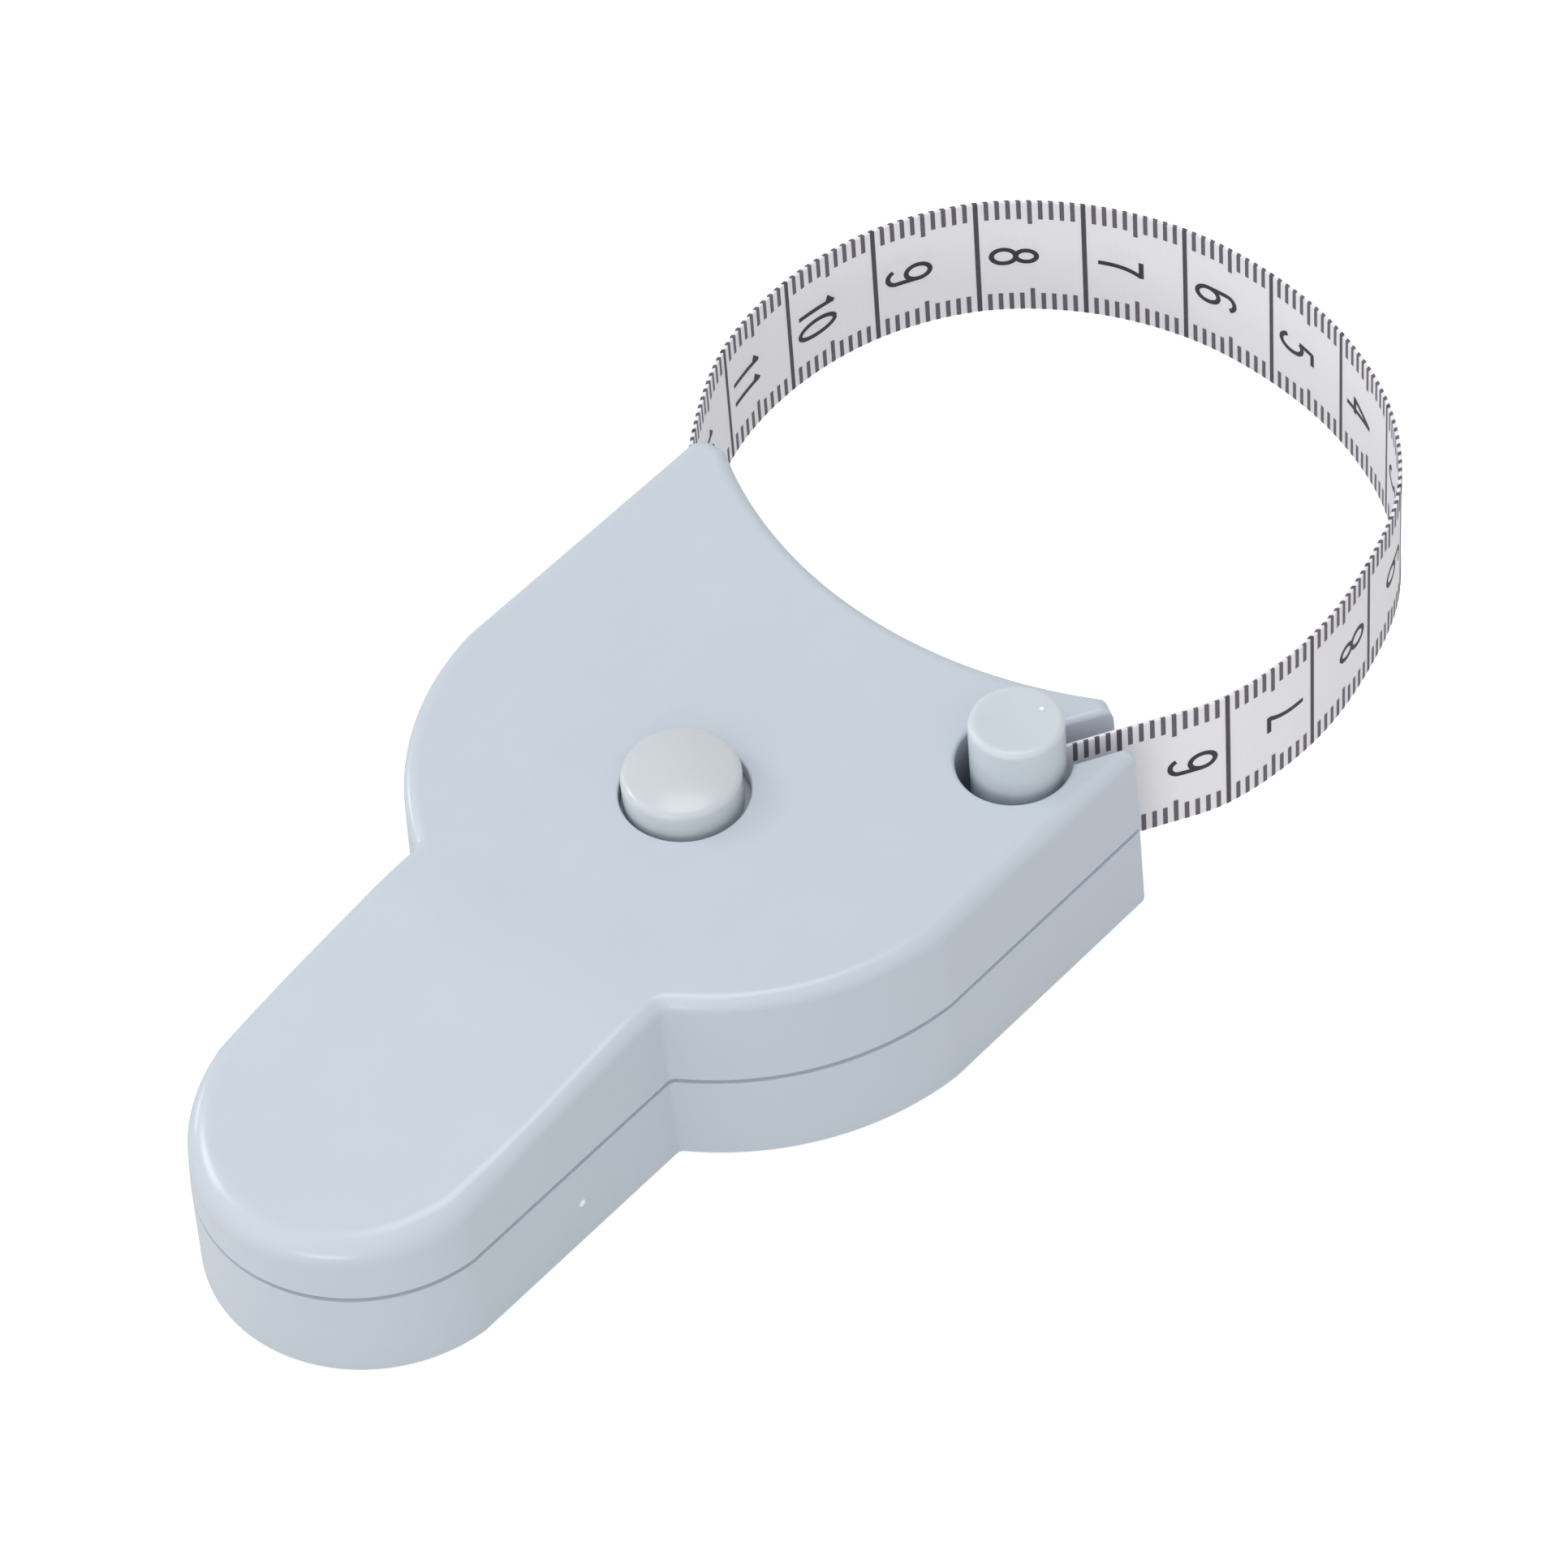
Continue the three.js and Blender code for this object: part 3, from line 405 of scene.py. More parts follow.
# Mesh helpers. Pieces are drawn in millimetres and scaled to metres when they are done.

def climb(bm, ring, places):
    """Extrudes a closed ring of points and moves each new point to its place."""
    edges = [bm.edges.get(pair) for pair in zip(ring, ring[1:] + ring[:1])]
    grown = bmesh.ops.extrude_edge_only(bm, edges=edges)["geom"]
    new = {v for v in grown if isinstance(v, bmesh.types.BMVert)}
    above = {}
    for v in new:
        for edge in v.link_edges:
            if edge.other_vert(v) not in new:
                above[edge.other_vert(v)] = v
    for v, place in zip(ring, places):
        above[v].co = place
    return [above[v] for v in ring]


def start_ring(bm, places):
    ring = [bm.verts.new(p) for p in places]
    for pair in zip(ring, ring[1:] + ring[:1]):
        bm.edges.new(pair)
    return ring


def close_case(bm, ring, head_count):
    """Fills a ring of the case: the level head, the strips where the grip starts to fall, then the grip."""
    head, grips = ring[:head_count], ring[head_count:]
    bm.faces.new(head + [grips[0], grips[-1]])
    for i in range(FALL_STEPS):
        bm.faces.new((grips[i], grips[i + 1], grips[-2 - i], grips[-1 - i]))
    bm.faces.new(grips[FALL_STEPS:len(grips) - FALL_STEPS])


def piece(name, bm, sharp=SHARP):
    """Makes an object of a mesh drawn in millimetres."""
    bmesh.ops.recalc_face_normals(bm, faces=bm.faces)
    bmesh.ops.scale(bm, vec=Vector((MM, MM, MM)), verts=bm.verts)
    mesh = bpy.data.meshes.new(name)
    bm.to_mesh(mesh)
    bm.free()
    mesh.shade_smooth()
    mesh.set_sharp_from_angle(angle=math.radians(sharp))
    obj = bpy.data.objects.new(name, mesh)
    bpy.context.scene.collection.objects.link(obj)
    return obj


def case_body(name, profile):
    """A body of the case's outline from steps of inset and height, closed at both ends. A step may have a
    second inset, which it reaches round the grip's end."""
    bm = bmesh.new()
    ring = None
    for inset, height, *end_inset in profile:
        head, grips = outline(inset)
        if end_inset:
            grips = [p.lerp(q, end_share(p.y)) for p, q in zip(grips, outline(end_inset[0])[1])]
        places = [Vector((p.x, p.y, height(p.y))) for p in head + grips]
        if ring is None:
            ring = start_ring(bm, places)
            close_case(bm, ring, len(head))
        else:
            ring = climb(bm, ring, places)
    close_case(bm, ring, len(head))
    bmesh.ops.remove_doubles(bm, verts=bm.verts, dist=0.0008)
    return piece(name, bm)


def spun(name, profile, centre=(0, 0), sides=96):
    """A profile of radius and height, spun about an upright line."""
    bm = bmesh.new()
    points = [bm.verts.new((r, 0, z)) for r, z in profile]
    edges = [bm.edges.new(pair) for pair in zip(points, points[1:])]
    bmesh.ops.spin(bm, geom=points + edges, cent=(0, 0, 0), axis=(0, 0, 1), dvec=(0, 0, 0),
                   angle=2 * math.pi, steps=sides, use_merge=True)
    bmesh.ops.remove_doubles(bm, verts=bm.verts, dist=0.0005)
    bmesh.ops.translate(bm, verts=bm.verts, vec=(centre[0], centre[1], 0))
    return piece(name, bm)


def rod(name, radius, low, high, centre=(0, 0), sides=96):
    """An upright cylinder."""
    return spun(name, [(0, low), (radius, low), (radius, high), (0, high)], centre, sides)


def slab(name, centre, turn, along, across, heights, flare=()):
    """An upright prism, turned about its centre, whose long sides may flare at the top."""
    bm = bmesh.new()
    ring = None
    u = Vector((math.cos(turn), math.sin(turn)))
    w = Vector((-u.y, u.x))
    for out, z in [(0, heights[0]), *flare, (flare[-1][0] if flare else 0, heights[1])]:
        flat = [(along[0], across[0] - out), (along[1], across[0] - out),
                (along[1], across[1] + out), (along[0], across[1] + out)]
        places = [Vector((*(Vector(centre) + u * a + w * b), z)) for a, b in flat]
        if ring is None:
            ring = start_ring(bm, places)
            bm.faces.new(ring)
        else:
            ring = climb(bm, ring, places)
    bm.faces.new(ring)
    return piece(name, bm)


def join(objects):
    """One object of several that don't touch."""
    bm = bmesh.new()
    for obj in objects:
        bm.from_mesh(obj.data)
        bpy.data.objects.remove(obj)
    bmesh.ops.scale(bm, vec=Vector((1 / MM, 1 / MM, 1 / MM)), verts=bm.verts)
    return piece("joined", bm)


def carve(obj, tool, operation="DIFFERENCE"):
    """Cuts or joins a piece with a tool, which is used up."""
    modifier = obj.modifiers.new("carve", "BOOLEAN")
    modifier.object = tool
    modifier.operation = operation
    modifier.solver = "EXACT"
    graph = bpy.context.evaluated_depsgraph_get()
    done = bpy.data.meshes.new_from_object(obj.evaluated_get(graph))
    obj.modifiers.clear()
    obj.data = done
    bpy.data.objects.remove(tool)


def gate_mark(name, place, squash, radius):
    """The small raised spot that is left where a moulding was broken off its feed."""
    bm = bmesh.new()
    bmesh.ops.create_uvsphere(bm, u_segments=24, v_segments=12, radius=radius)
    bmesh.ops.scale(bm, vec=Vector(squash), verts=bm.verts)
    bmesh.ops.translate(bm, vec=Vector(place), verts=bm.verts)
    return piece(name, bm)


def finish_piece(obj, body, nodes, material):
    """Gives a piece its shading, its finish and the body that it rides on, and hides the nodes that it stands
    for.
    """
    bm = bmesh.new()
    bm.from_mesh(obj.data)
    bmesh.ops.remove_doubles(bm, verts=bm.verts, dist=0.0008 * MM)
    bmesh.ops.dissolve_degenerate(bm, edges=bm.edges, dist=0.0004 * MM)
    bm.to_mesh(obj.data)
    bm.free()
    obj.data.shade_smooth()
    obj.data.set_sharp_from_angle(angle=math.radians(SHARP))
    obj.data.materials.clear()
    obj.data.materials.append(material)
    modifier = obj.modifiers.new("even shading", "WEIGHTED_NORMAL")
    modifier.keep_sharp = True
    modifier.weight = 100
    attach(obj, body)
    if nodes:
        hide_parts(*nodes)


def quarter(radius, steps):
    """Points of a quarter round: how far each one is out from the wall, and how far up."""
    angles = [math.pi / 2 * i / steps for i in range(steps + 1)]
    return [(radius * (1 - math.cos(a)), radius * math.sin(a)) for a in angles]


# Route of the tape, as the solids have it

def peg_and_mouth():
    """The middle of the peg, and the slot's middle at the tip of the horn."""
    peg = POCKET + SLOT_ALONG * PEG_PULL
    mouth = SLOT_ALONG * RIGHT_REACH + SLOT_ACROSS * POCKET.dot(SLOT_ACROSS)
    return peg, mouth


def route_places():
    """The tape's route from the winding, out of the slit, round the loop, into the slot and round the pin."""
    thickness = sizes().tape_thickness / MM
    peg, mouth = peg_and_mouth()
    wrap = PACK_RADIUS + SEAT_GAP + thickness / 2
    bend = SLIT + SLIT_BEND
    angle = math.atan2(bend.y, bend.x) + math.acos(wrap / bend.length)
    leaving = wrap * Vector((math.cos(angle), math.sin(angle)))
    centre = Vector((LOOP_CENTRE_X, SLIT.y + LOOP_RISE))
    loop = [centre + LOOP_RADIUS * Vector(share) for share in LOOP_SHARES]
    hem = []
    for degrees in HEM_DEGREES:
        a = math.radians(degrees)
        out = SLOT_ALONG * math.cos(a) + SLOT_ACROSS * math.sin(a)
        hem.append(peg + (PIN_RADIUS + thickness / 2 + PIN_GAP) * out)
    return [leaving, leaving.lerp(bend, 0.5), bend, SLIT - SLIT_ALONG * SLIT_WIDTH, SLIT,
            SLIT + SLIT_ALONG * SLIT_STRAIGHT, *loop, mouth + SLOT_ALONG * SLOT_STRAIGHT, mouth,
            POCKET + SLOT_ALONG * POCKET_RADIUS, peg + SLOT_ALONG * PIN_BORE, *hem]


class Route:
    """A smooth curve through the places, measured along its length."""

    def __init__(self, places, steps=60):
        ends = [2 * places[0] - places[1], *places, 2 * places[-1] - places[-2]]
        self.points = []
        for p0, p1, p2, p3 in zip(ends, ends[1:], ends[2:], ends[3:]):
            d0, d1, d2 = (math.sqrt((b - a).length) for a, b in ((p0, p1), (p1, p2), (p2, p3)))
            t1 = ((p1 - p0) / d0 - (p2 - p0) / (d0 + d1) + (p2 - p1) / d1) * d1
            t2 = ((p2 - p1) / d1 - (p3 - p1) / (d1 + d2) + (p3 - p2) / d2) * d1
            for i in range(steps):
                t = i / steps
                self.points.append(p1 + t1 * t + (3 * (p2 - p1) - 2 * t1 - t2) * t ** 2
                                   + (2 * (p1 - p2) + t1 + t2) * t ** 3)
        self.points.append(places[-1].copy())
        self.lengths = [0.0]
        for a, b in zip(self.points, self.points[1:]):
            self.lengths.append(self.lengths[-1] + (b - a).length)
        self.length = self.lengths[-1]

    def near(self, place):
        """Length along the route at the point nearest to a place."""
        index = min(range(len(self.points)), key=lambda i: (self.points[i] - place).length)
        return self.lengths[index]

    def at(self, length):
        """The point at a length along the route, and the direction there."""
        low, high = 0, len(self.lengths) - 1
        length = max(0.0, min(self.length, length))
        while high - low > 1:
            middle = (low + high) // 2
            if self.lengths[middle] <= length:
                low = middle
            else:
                high = middle
        a, b = self.points[low], self.points[low + 1]
        share = (length - self.lengths[low]) / max(self.lengths[low + 1] - self.lengths[low], 1e-9)
        before = self.points[max(low - 1, 0)]
        after = self.points[min(low + 2, len(self.points) - 1)]
        here, ahead = (b - before).normalized(), (after - a).normalized()
        return a.lerp(b, share), here.lerp(ahead, share).normalized()


class Tape:
    """Places on the tape from a length along it, a height across it and a lift off its middle."""

    def __init__(self):
        self.route = Route(route_places())
        self.slit = self.route.near(SLIT)
        self.slot = self.route.near(peg_and_mouth()[1])

    def low(self, length):
        way = max(0.0, min(1.0, (length - self.slit) / (self.slot - self.slit)))
        return TAPE_LOW + TAPE_RISE * way

    def place(self, length, across, lift=0.0):
        point, along = self.route.at(length)
        out = Vector((-along.y, along.x)) * lift
        return Vector((point.x + out.x, point.y + out.y, self.low(length) + across))


def ribbon(name, place, length, steps, thickness, across_steps=6):
    """A strip of tape: a grid laid along a path, given its thickness, with its real lengths as UV."""
    bm = bmesh.new()
    bmesh.ops.create_grid(bm, x_segments=steps, y_segments=across_steps, size=0.5)
    layer = bm.loops.layers.uv.new("tape")
    for face in bm.faces:
        for loop in face.loops:
            loop[layer].uv = ((loop.vert.co.x + 0.5) * length, (loop.vert.co.y + 0.5) * TAPE_WIDTH)
    for v in bm.verts:
        v.co = place((v.co.x + 0.5) * length, (v.co.y + 0.5) * TAPE_WIDTH)
    bmesh.ops.recalc_face_normals(bm, faces=bm.faces)
    for v in bm.verts:
        v.normal_update()
    middle = {v: (v.co.copy(), v.normal.copy()) for v in bm.verts}
    for v, (co, normal) in middle.items():
        v.co = co + normal * thickness / 2
    bmesh.ops.solidify(bm, geom=bm.faces[:], thickness=thickness)
    return piece(name, bm, 40)


# Materials

def add(tree, kind, inputs=(), **settings):
    """Adds a node, sets its attributes, and fills its inputs with values or links."""
    node = tree.nodes.new(kind)
    for name, value in settings.items():
        setattr(node, name, value)
    for name, value in dict(inputs).items():
        if isinstance(value, bpy.types.NodeSocket):
            tree.links.new(value, node.inputs[name])
        else:
            node.inputs[name].default_value = value
    return node


def new_material(name):
    material = bpy.data.materials.new(name)
    material.use_nodes = True
    tree = material.node_tree
    tree.nodes.clear()
    shader = add(tree, "ShaderNodeBsdfPrincipled")
    add(tree, "ShaderNodeOutputMaterial", {"Surface": shader.outputs["BSDF"]})
    return material, tree, shader


def shaded(colour, share):
    """A colour lightened or darkened by a share."""
    return tuple(min(1.0, c * (1 + share)) for c in colour[:3]) + (1.0,)


def grey(value):
    return (value, value, value, 1.0)


def per_metre(millimetres):
    """Scale of a pattern on metres whose features are this many millimetres apart."""
    return 1000.0 / millimetres


def bands(millimetres):
    """Scale of a wave texture on millimetres whose bands are this many millimetres apart."""
    return math.pi / (10 * millimetres)


def moulded_abs(name, colour, roughness=0.24, bump=0.02, glow=0.12):
    """ABS from a polished mould: a clear gloss over an even colour. The faint clouds are where the melt
    flowed, and the long soft ripple under the gloss is sink over the walls and ribs. Light runs on under the
    surface, which softens the edges and warms the shaded sides of the thicker pieces."""
    material, tree, shader = new_material(name)
    place = add(tree, "ShaderNodeTexCoord").outputs["Object"]
    clouds = add(tree, "ShaderNodeTexNoise", {"Vector": place, "Scale": per_metre(9), "Detail": 2.0,
                                              "Roughness": 0.5})
    tint = add(tree, "ShaderNodeMix", {"Factor": clouds.outputs["Fac"], "A": shaded(colour, -0.018),
                                       "B": shaded(colour, 0.018)}, data_type="RGBA")
    tree.links.new(tint.outputs["Result"], shader.inputs["Base Color"])
    ripple = add(tree, "ShaderNodeTexNoise", {"Vector": place, "Scale": per_metre(7), "Detail": 1.0})
    grain = add(tree, "ShaderNodeTexNoise", {"Vector": place, "Scale": per_metre(0.8), "Detail": 2.0})
    relief = add(tree, "ShaderNodeBump", {"Height": ripple.outputs["Fac"], "Strength": bump,
                                          "Distance": 0.0002})
    tree.links.new(relief.outputs["Normal"], shader.inputs["Normal"])
    haze = add(tree, "ShaderNodeMapRange", {"Value": grain.outputs["Fac"], "To Min": roughness - 0.02,
                                            "To Max": roughness + 0.02})
    tree.links.new(haze.outputs["Result"], shader.inputs["Roughness"])
    shader.inputs["IOR"].default_value = 1.52
    shader.inputs["Subsurface Weight"].default_value = glow
    shader.inputs["Subsurface Radius"].default_value = (1.0, 0.85, 0.65)
    shader.inputs["Subsurface Scale"].default_value = MM
    return material


def whitened_abs(name):
    """ABS at the mould's gates, less glossy than the skin; its near white colour is a painted highlight on
    the raised mark.
    """
    material, tree, shader = new_material(name)
    place = add(tree, "ShaderNodeTexCoord").outputs["Object"]
    grain = add(tree, "ShaderNodeTexNoise", {"Vector": place, "Scale": per_metre(0.15), "Detail": 3.0})
    # The near white of the gate marks is a painted highlight, with a faint random grain
    colour = tuple(colours().gate)
    tint = add(tree, "ShaderNodeMix", {"Factor": grain.outputs["Fac"], "A": shaded(colour, -0.03),
                                       "B": colour}, data_type="RGBA")
    tree.links.new(tint.outputs["Result"], shader.inputs["Base Color"])
    shader.inputs["Roughness"].default_value = 0.35
    shader.inputs["IOR"].default_value = 1.52
    return material


def coated_cloth():
    """Glass fibre cloth coated with PVC: an even off-white face with faint patches some 3 mm across. The
    weave, its threads 0.63 mm apart, shows through only as a low relief and a slight change of tone."""
    material, tree, shader = new_material("PVC coated glass cloth")
    uv = add(tree, "ShaderNodeUVMap", uv_map="tape").outputs["UV"]
    threads = {"Vector": uv, "Scale": bands(0.6283), "Distortion": 0.25, "Detail": 1.0}
    warp = add(tree, "ShaderNodeTexWave", threads, wave_type="BANDS", bands_direction="X", wave_profile="SIN")
    weft = add(tree, "ShaderNodeTexWave", threads, wave_type="BANDS", bands_direction="Y", wave_profile="SIN")
    weave = add(tree, "ShaderNodeMath", {0: warp.outputs["Fac"], 1: weft.outputs["Fac"]},
                operation="MULTIPLY")
    colour = tuple(colours().tape)
    clouds = add(tree, "ShaderNodeTexNoise", {"Vector": uv, "Scale": 0.3, "Detail": 3.0})
    tint = add(tree, "ShaderNodeMix", {"Factor": clouds.outputs["Fac"], "A": shaded(colour, -0.02),
                                       "B": shaded(colour, 0.02)}, data_type="RGBA")
    cloth = add(tree, "ShaderNodeMix", {"Factor": weave.outputs["Value"], "A": shaded(colour, -0.012),
                                        "B": tint.outputs["Result"]}, data_type="RGBA")
    tree.links.new(cloth.outputs["Result"], shader.inputs["Base Color"])
    relief = add(tree, "ShaderNodeBump", {"Height": weave.outputs["Value"], "Strength": 0.05,
                                          "Distance": 0.00005})
    tree.links.new(relief.outputs["Normal"], shader.inputs["Normal"])
    shader.inputs["Roughness"].default_value = 0.3
    shader.inputs["IOR"].default_value = 1.53
    shader.inputs["Subsurface Weight"].default_value = 0.3
    shader.inputs["Subsurface Radius"].default_value = (0.5, 0.5, 0.5)
    shader.inputs["Subsurface Scale"].default_value = MM
    return material


def printing_ink(name, colour):
    """Screen printed vinyl ink: nearly matt, a little thin where the cloth's threads stand up."""
    material, tree, shader = new_material(name)
    place = add(tree, "ShaderNodeTexCoord").outputs["Object"]
    wear = add(tree, "ShaderNodeTexNoise", {"Vector": place, "Scale": per_metre(0.4), "Detail": 3.0})
    thin = add(tree, "ShaderNodeMapRange", {"Value": wear.outputs["Fac"], "From Min": 0.55, "From Max": 0.8})
    tint = add(tree, "ShaderNodeMix", {"Factor": thin.outputs["Result"], "A": colour,
                                       "B": shaded(colour, 0.5)}, data_type="RGBA")
    tree.links.new(tint.outputs["Result"], shader.inputs["Base Color"])
    shader.inputs["Roughness"].default_value = 0.5
    shader.inputs["IOR"].default_value = 1.48
    return material


def moulded_acetal(name, colour):
    """Acetal, a waxy bearing plastic: a soft sheen from fine spark eroded mould faces."""
    material, tree, shader = new_material(name)
    place = add(tree, "ShaderNodeTexCoord").outputs["Object"]
    grain = add(tree, "ShaderNodeTexNoise", {"Vector": place, "Scale": per_metre(0.25), "Detail": 4.0})
    tint = add(tree, "ShaderNodeMix", {"Factor": grain.outputs["Fac"], "A": shaded(colour, -0.04),
                                       "B": shaded(colour, 0.03)}, data_type="RGBA")
    tree.links.new(tint.outputs["Result"], shader.inputs["Base Color"])
    relief = add(tree, "ShaderNodeBump", {"Height": grain.outputs["Fac"], "Strength": 0.15,
                                          "Distance": 0.0001})
    tree.links.new(relief.outputs["Normal"], shader.inputs["Normal"])
    shader.inputs["Roughness"].default_value = 0.42
    shader.inputs["IOR"].default_value = 1.48
    return material


def drawn_steel(name, colour, roughness, scratch):
    """Steel strip, wire or plated steel: fine lines from rolling or drawing break up its shine."""
    material, tree, shader = new_material(name)
    place = add(tree, "ShaderNodeTexCoord").outputs["Object"]
    stretched = add(tree, "ShaderNodeMapping", {"Vector": place, "Scale": (1.0, 1.0, 12.0)})
    lines = add(tree, "ShaderNodeTexNoise", {"Vector": stretched.outputs["Vector"],
                                             "Scale": per_metre(scratch), "Detail": 3.0})
    tint = add(tree, "ShaderNodeMix", {"Factor": lines.outputs["Fac"], "A": shaded(colour, -0.12),
                                       "B": shaded(colour, 0.08)}, data_type="RGBA")
    tree.links.new(tint.outputs["Result"], shader.inputs["Base Color"])
    haze = add(tree, "ShaderNodeMapRange", {"Value": lines.outputs["Fac"], "To Min": roughness - 0.08,
                                            "To Max": roughness + 0.1})
    tree.links.new(haze.outputs["Result"], shader.inputs["Roughness"])
    shader.inputs["Metallic"].default_value = 1.0
    return material


def light_table():
    """Opal acrylic light table: the camera sees it white, with only a trace of a shadow, and it throws little
    light back on the sides of the case."""
    material, tree, shader = new_material("opal light table")
    seen = add(tree, "ShaderNodeLightPath").outputs["Is Camera Ray"]
    tint = add(tree, "ShaderNodeMix", {"Factor": seen, "A": grey(TABLE_BOUNCE), "B": grey(TABLE_SHADE)},
               data_type="RGBA")
    tree.links.new(tint.outputs["Result"], shader.inputs["Base Color"])
    glow = add(tree, "ShaderNodeMapRange", {"Value": seen, "To Min": TABLE_BACKLIGHT, "To Max": TABLE_GLOW})
    tree.links.new(glow.outputs["Result"], shader.inputs["Emission Strength"])
    shader.inputs["Emission Color"].default_value = tuple(colours().floor)
    shader.inputs["Roughness"].default_value = 0.9
    shader.inputs["Specular IOR Level"].default_value = 0.1
    return material


# Numbers of the scale, drawn as strokes in a box one high

def sweep(cx, cy, rx, ry, start, end, steps=18):
    return [(cx + rx * math.cos(math.radians(start + (end - start) * i / steps)),
             cy + ry * math.sin(math.radians(start + (end - start) * i / steps))) for i in range(steps + 1)]


def digit_strokes(digit):
    """Centre lines of a plain narrow digit, in a box 1 high and 0.42 wide."""
    six = sweep(0.21, 0.79, 0.2, 0.21, 20, 180) + sweep(0.21, 0.28, 0.21, 0.28, 180, 535, 30)
    seven = [(0.22 + 0.2 * (1 - i / 12) ** 3, 1 - i / 12) for i in range(13)]
    return {
        "0": [sweep(0.21, 0.5, 0.21, 0.5, 90, 450, 36)],
        "1": [[(0.25, 1.0), (0.25, 0.0)]],
        "2": [sweep(0.21, 0.76, 0.2, 0.24, 170, -30) + [(0.0, 0.0)], [(-0.04, 0.0), (0.44, 0.0)]],
        "3": [sweep(0.2, 0.77, 0.18, 0.23, 165, -90) + sweep(0.19, 0.27, 0.22, 0.27, 90, -165)],
        "4": [[(0.32, -0.04), (0.32, 1.0)], [(0.32, 1.0), (0.0, 0.3)], [(-0.04, 0.3), (0.44, 0.3)]],
        "5": [[(0.41, 1.0), (0.06, 1.0)], [(0.08, 1.04), (0.04, 0.58)],
              sweep(0.19, 0.33, 0.23, 0.33, 128, -155)],
        "6": [six],
        "7": [[(-0.01, 1.0), (0.46, 1.0)], seven],
        "8": [sweep(0.21, 0.77, 0.17, 0.23, -90, 270, 28), sweep(0.21, 0.27, 0.21, 0.27, 90, 450, 30)],
        "9": [[(0.42 - x, 1 - y) for x, y in six]],
    }[digit]


# The filled flag of the 1 and the middle of a digit, in the same box
FLAG = ((0.27, 1.04), (0.03, 0.84), (0.25, 0.76))
DIGIT_MIDDLE = 0.21


def close_points(points, apart=0.35):
    """The same line with its points close enough together to follow the bend of the tape."""
    close = [points[0]]
    for a, b in zip(points, points[1:]):
        count = max(1, math.ceil(math.dist(a, b) / apart))
        close += [(a[0] + (b[0] - a[0]) * i / count, a[1] + (b[1] - a[1]) * i / count)
                  for i in range(1, count + 1)]
    return close


def lay_stroke(bm, points, width, spread):
    """A flat stroke: its centre line is extruded, and the two copies are moved half a width apart."""
    points = close_points(points)
    line = [bm.verts.new((x, y, 0)) for x, y in points]
    edges = [bm.edges.new(pair) for pair in zip(line, line[1:])]
    sides = []
    for i in range(len(points)):
        a, b = Vector(points[max(i - 1, 0)]), Vector(points[min(i + 1, len(points) - 1)])
        along = (b - a).normalized()
        sides.append(Vector((-along.y, along.x, 0)) * width / 2)
    grown = bmesh.ops.extrude_edge_only(bm, edges=edges)["geom"]
    new = {v for v in grown if isinstance(v, bmesh.types.BMVert)}
    for v, side in zip(line, sides):
        twin = next(e.other_vert(v) for e in v.link_edges if e.other_vert(v) in new)
        v.co += side
        twin.co -= side
    for v in line + list(new):
        v.co = spread(v.co)


def print_scale(tape, zero, face):
    """The scale on one face of the tape: 1 is the outer face of the loop and -1 the inner. Each face of the
    mesh has the slot of its ink."""
    s = sizes()
    film = s.ink_thickness / MM
    lift = face * (s.tape_thickness / MM / 2 + film)
    bm = bmesh.new()
    first, last = tape.slit + 0.6, tape.route.near(peg_and_mouth()[0] + SLOT_ALONG * PIN_BORE)

    def patch(at, width, ends, ink):
        half = width / MM / 2
        (low, under), (high, over) = ends
        corners = [(at - half, low, under), (at + half, low, under),
                   (at + half, high, over), (at - half, high, over)]
        bm.faces.new([bm.verts.new(tape.place(*c)) for c in corners]).material_index = ink

    def mark(at, width, low, high, ink):
        """A line or tick, which runs on over the cut edge of the cloth."""
        patch(at, width, ((low, lift), (high, lift)), ink)
        if low == 0:
            patch(at, width, ((-film, 0), (-film, lift)), ink)
        if high == TAPE_WIDTH:
            patch(at, width, ((TAPE_WIDTH + film, lift), (TAPE_WIDTH + film, 0)), ink)

    millimetre = 0
    while zero - millimetre > first:
        at = zero - millimetre
        if at < last:
            if millimetre % 10 == 0:
                mark(at, s.line_width, 0, TAPE_WIDTH, LINE_INK)
            else:
                long = (s.half_tick_length if millimetre % 5 == 0 else s.tick_length) / MM
                mark(at, s.tick_width, 0, long, TICK_INK)
                mark(at, s.tick_width, TAPE_WIDTH - long, TAPE_WIDTH, TICK_INK)
        millimetre += 1

    high = s.digit_height / MM
    for number in range(1, int((zero - first) / 10) + 1):
        at = zero - number * 10
        if at + high + HEM_MARGIN > last or (face > 0 and number < OUTER_FIRST):
            continue
        text = str(number)
        before = set(bm.faces)
        for i, digit in enumerate(text):
            middle = TAPE_WIDTH / 2 - face * s.digit_pitch / MM * ((len(text) - 1) / 2 - i)

            def spread(co, at=at, middle=middle):
                across = middle + face * (co.x - high * DIGIT_MIDDLE)
                return tape.place(at + s.digit_foot / MM + co.y, across, lift)

            for stroke in digit_strokes(digit):
                lay_stroke(bm, [(x * high, y * high) for x, y in stroke], s.digit_stroke / MM, spread)
            if digit == "1":
                bm.faces.new([bm.verts.new(spread(Vector((x * high, y * high)))) for x, y in FLAG])
        for drawn in set(bm.faces) - before:
            drawn.material_index = DIGIT_INK
    return bm


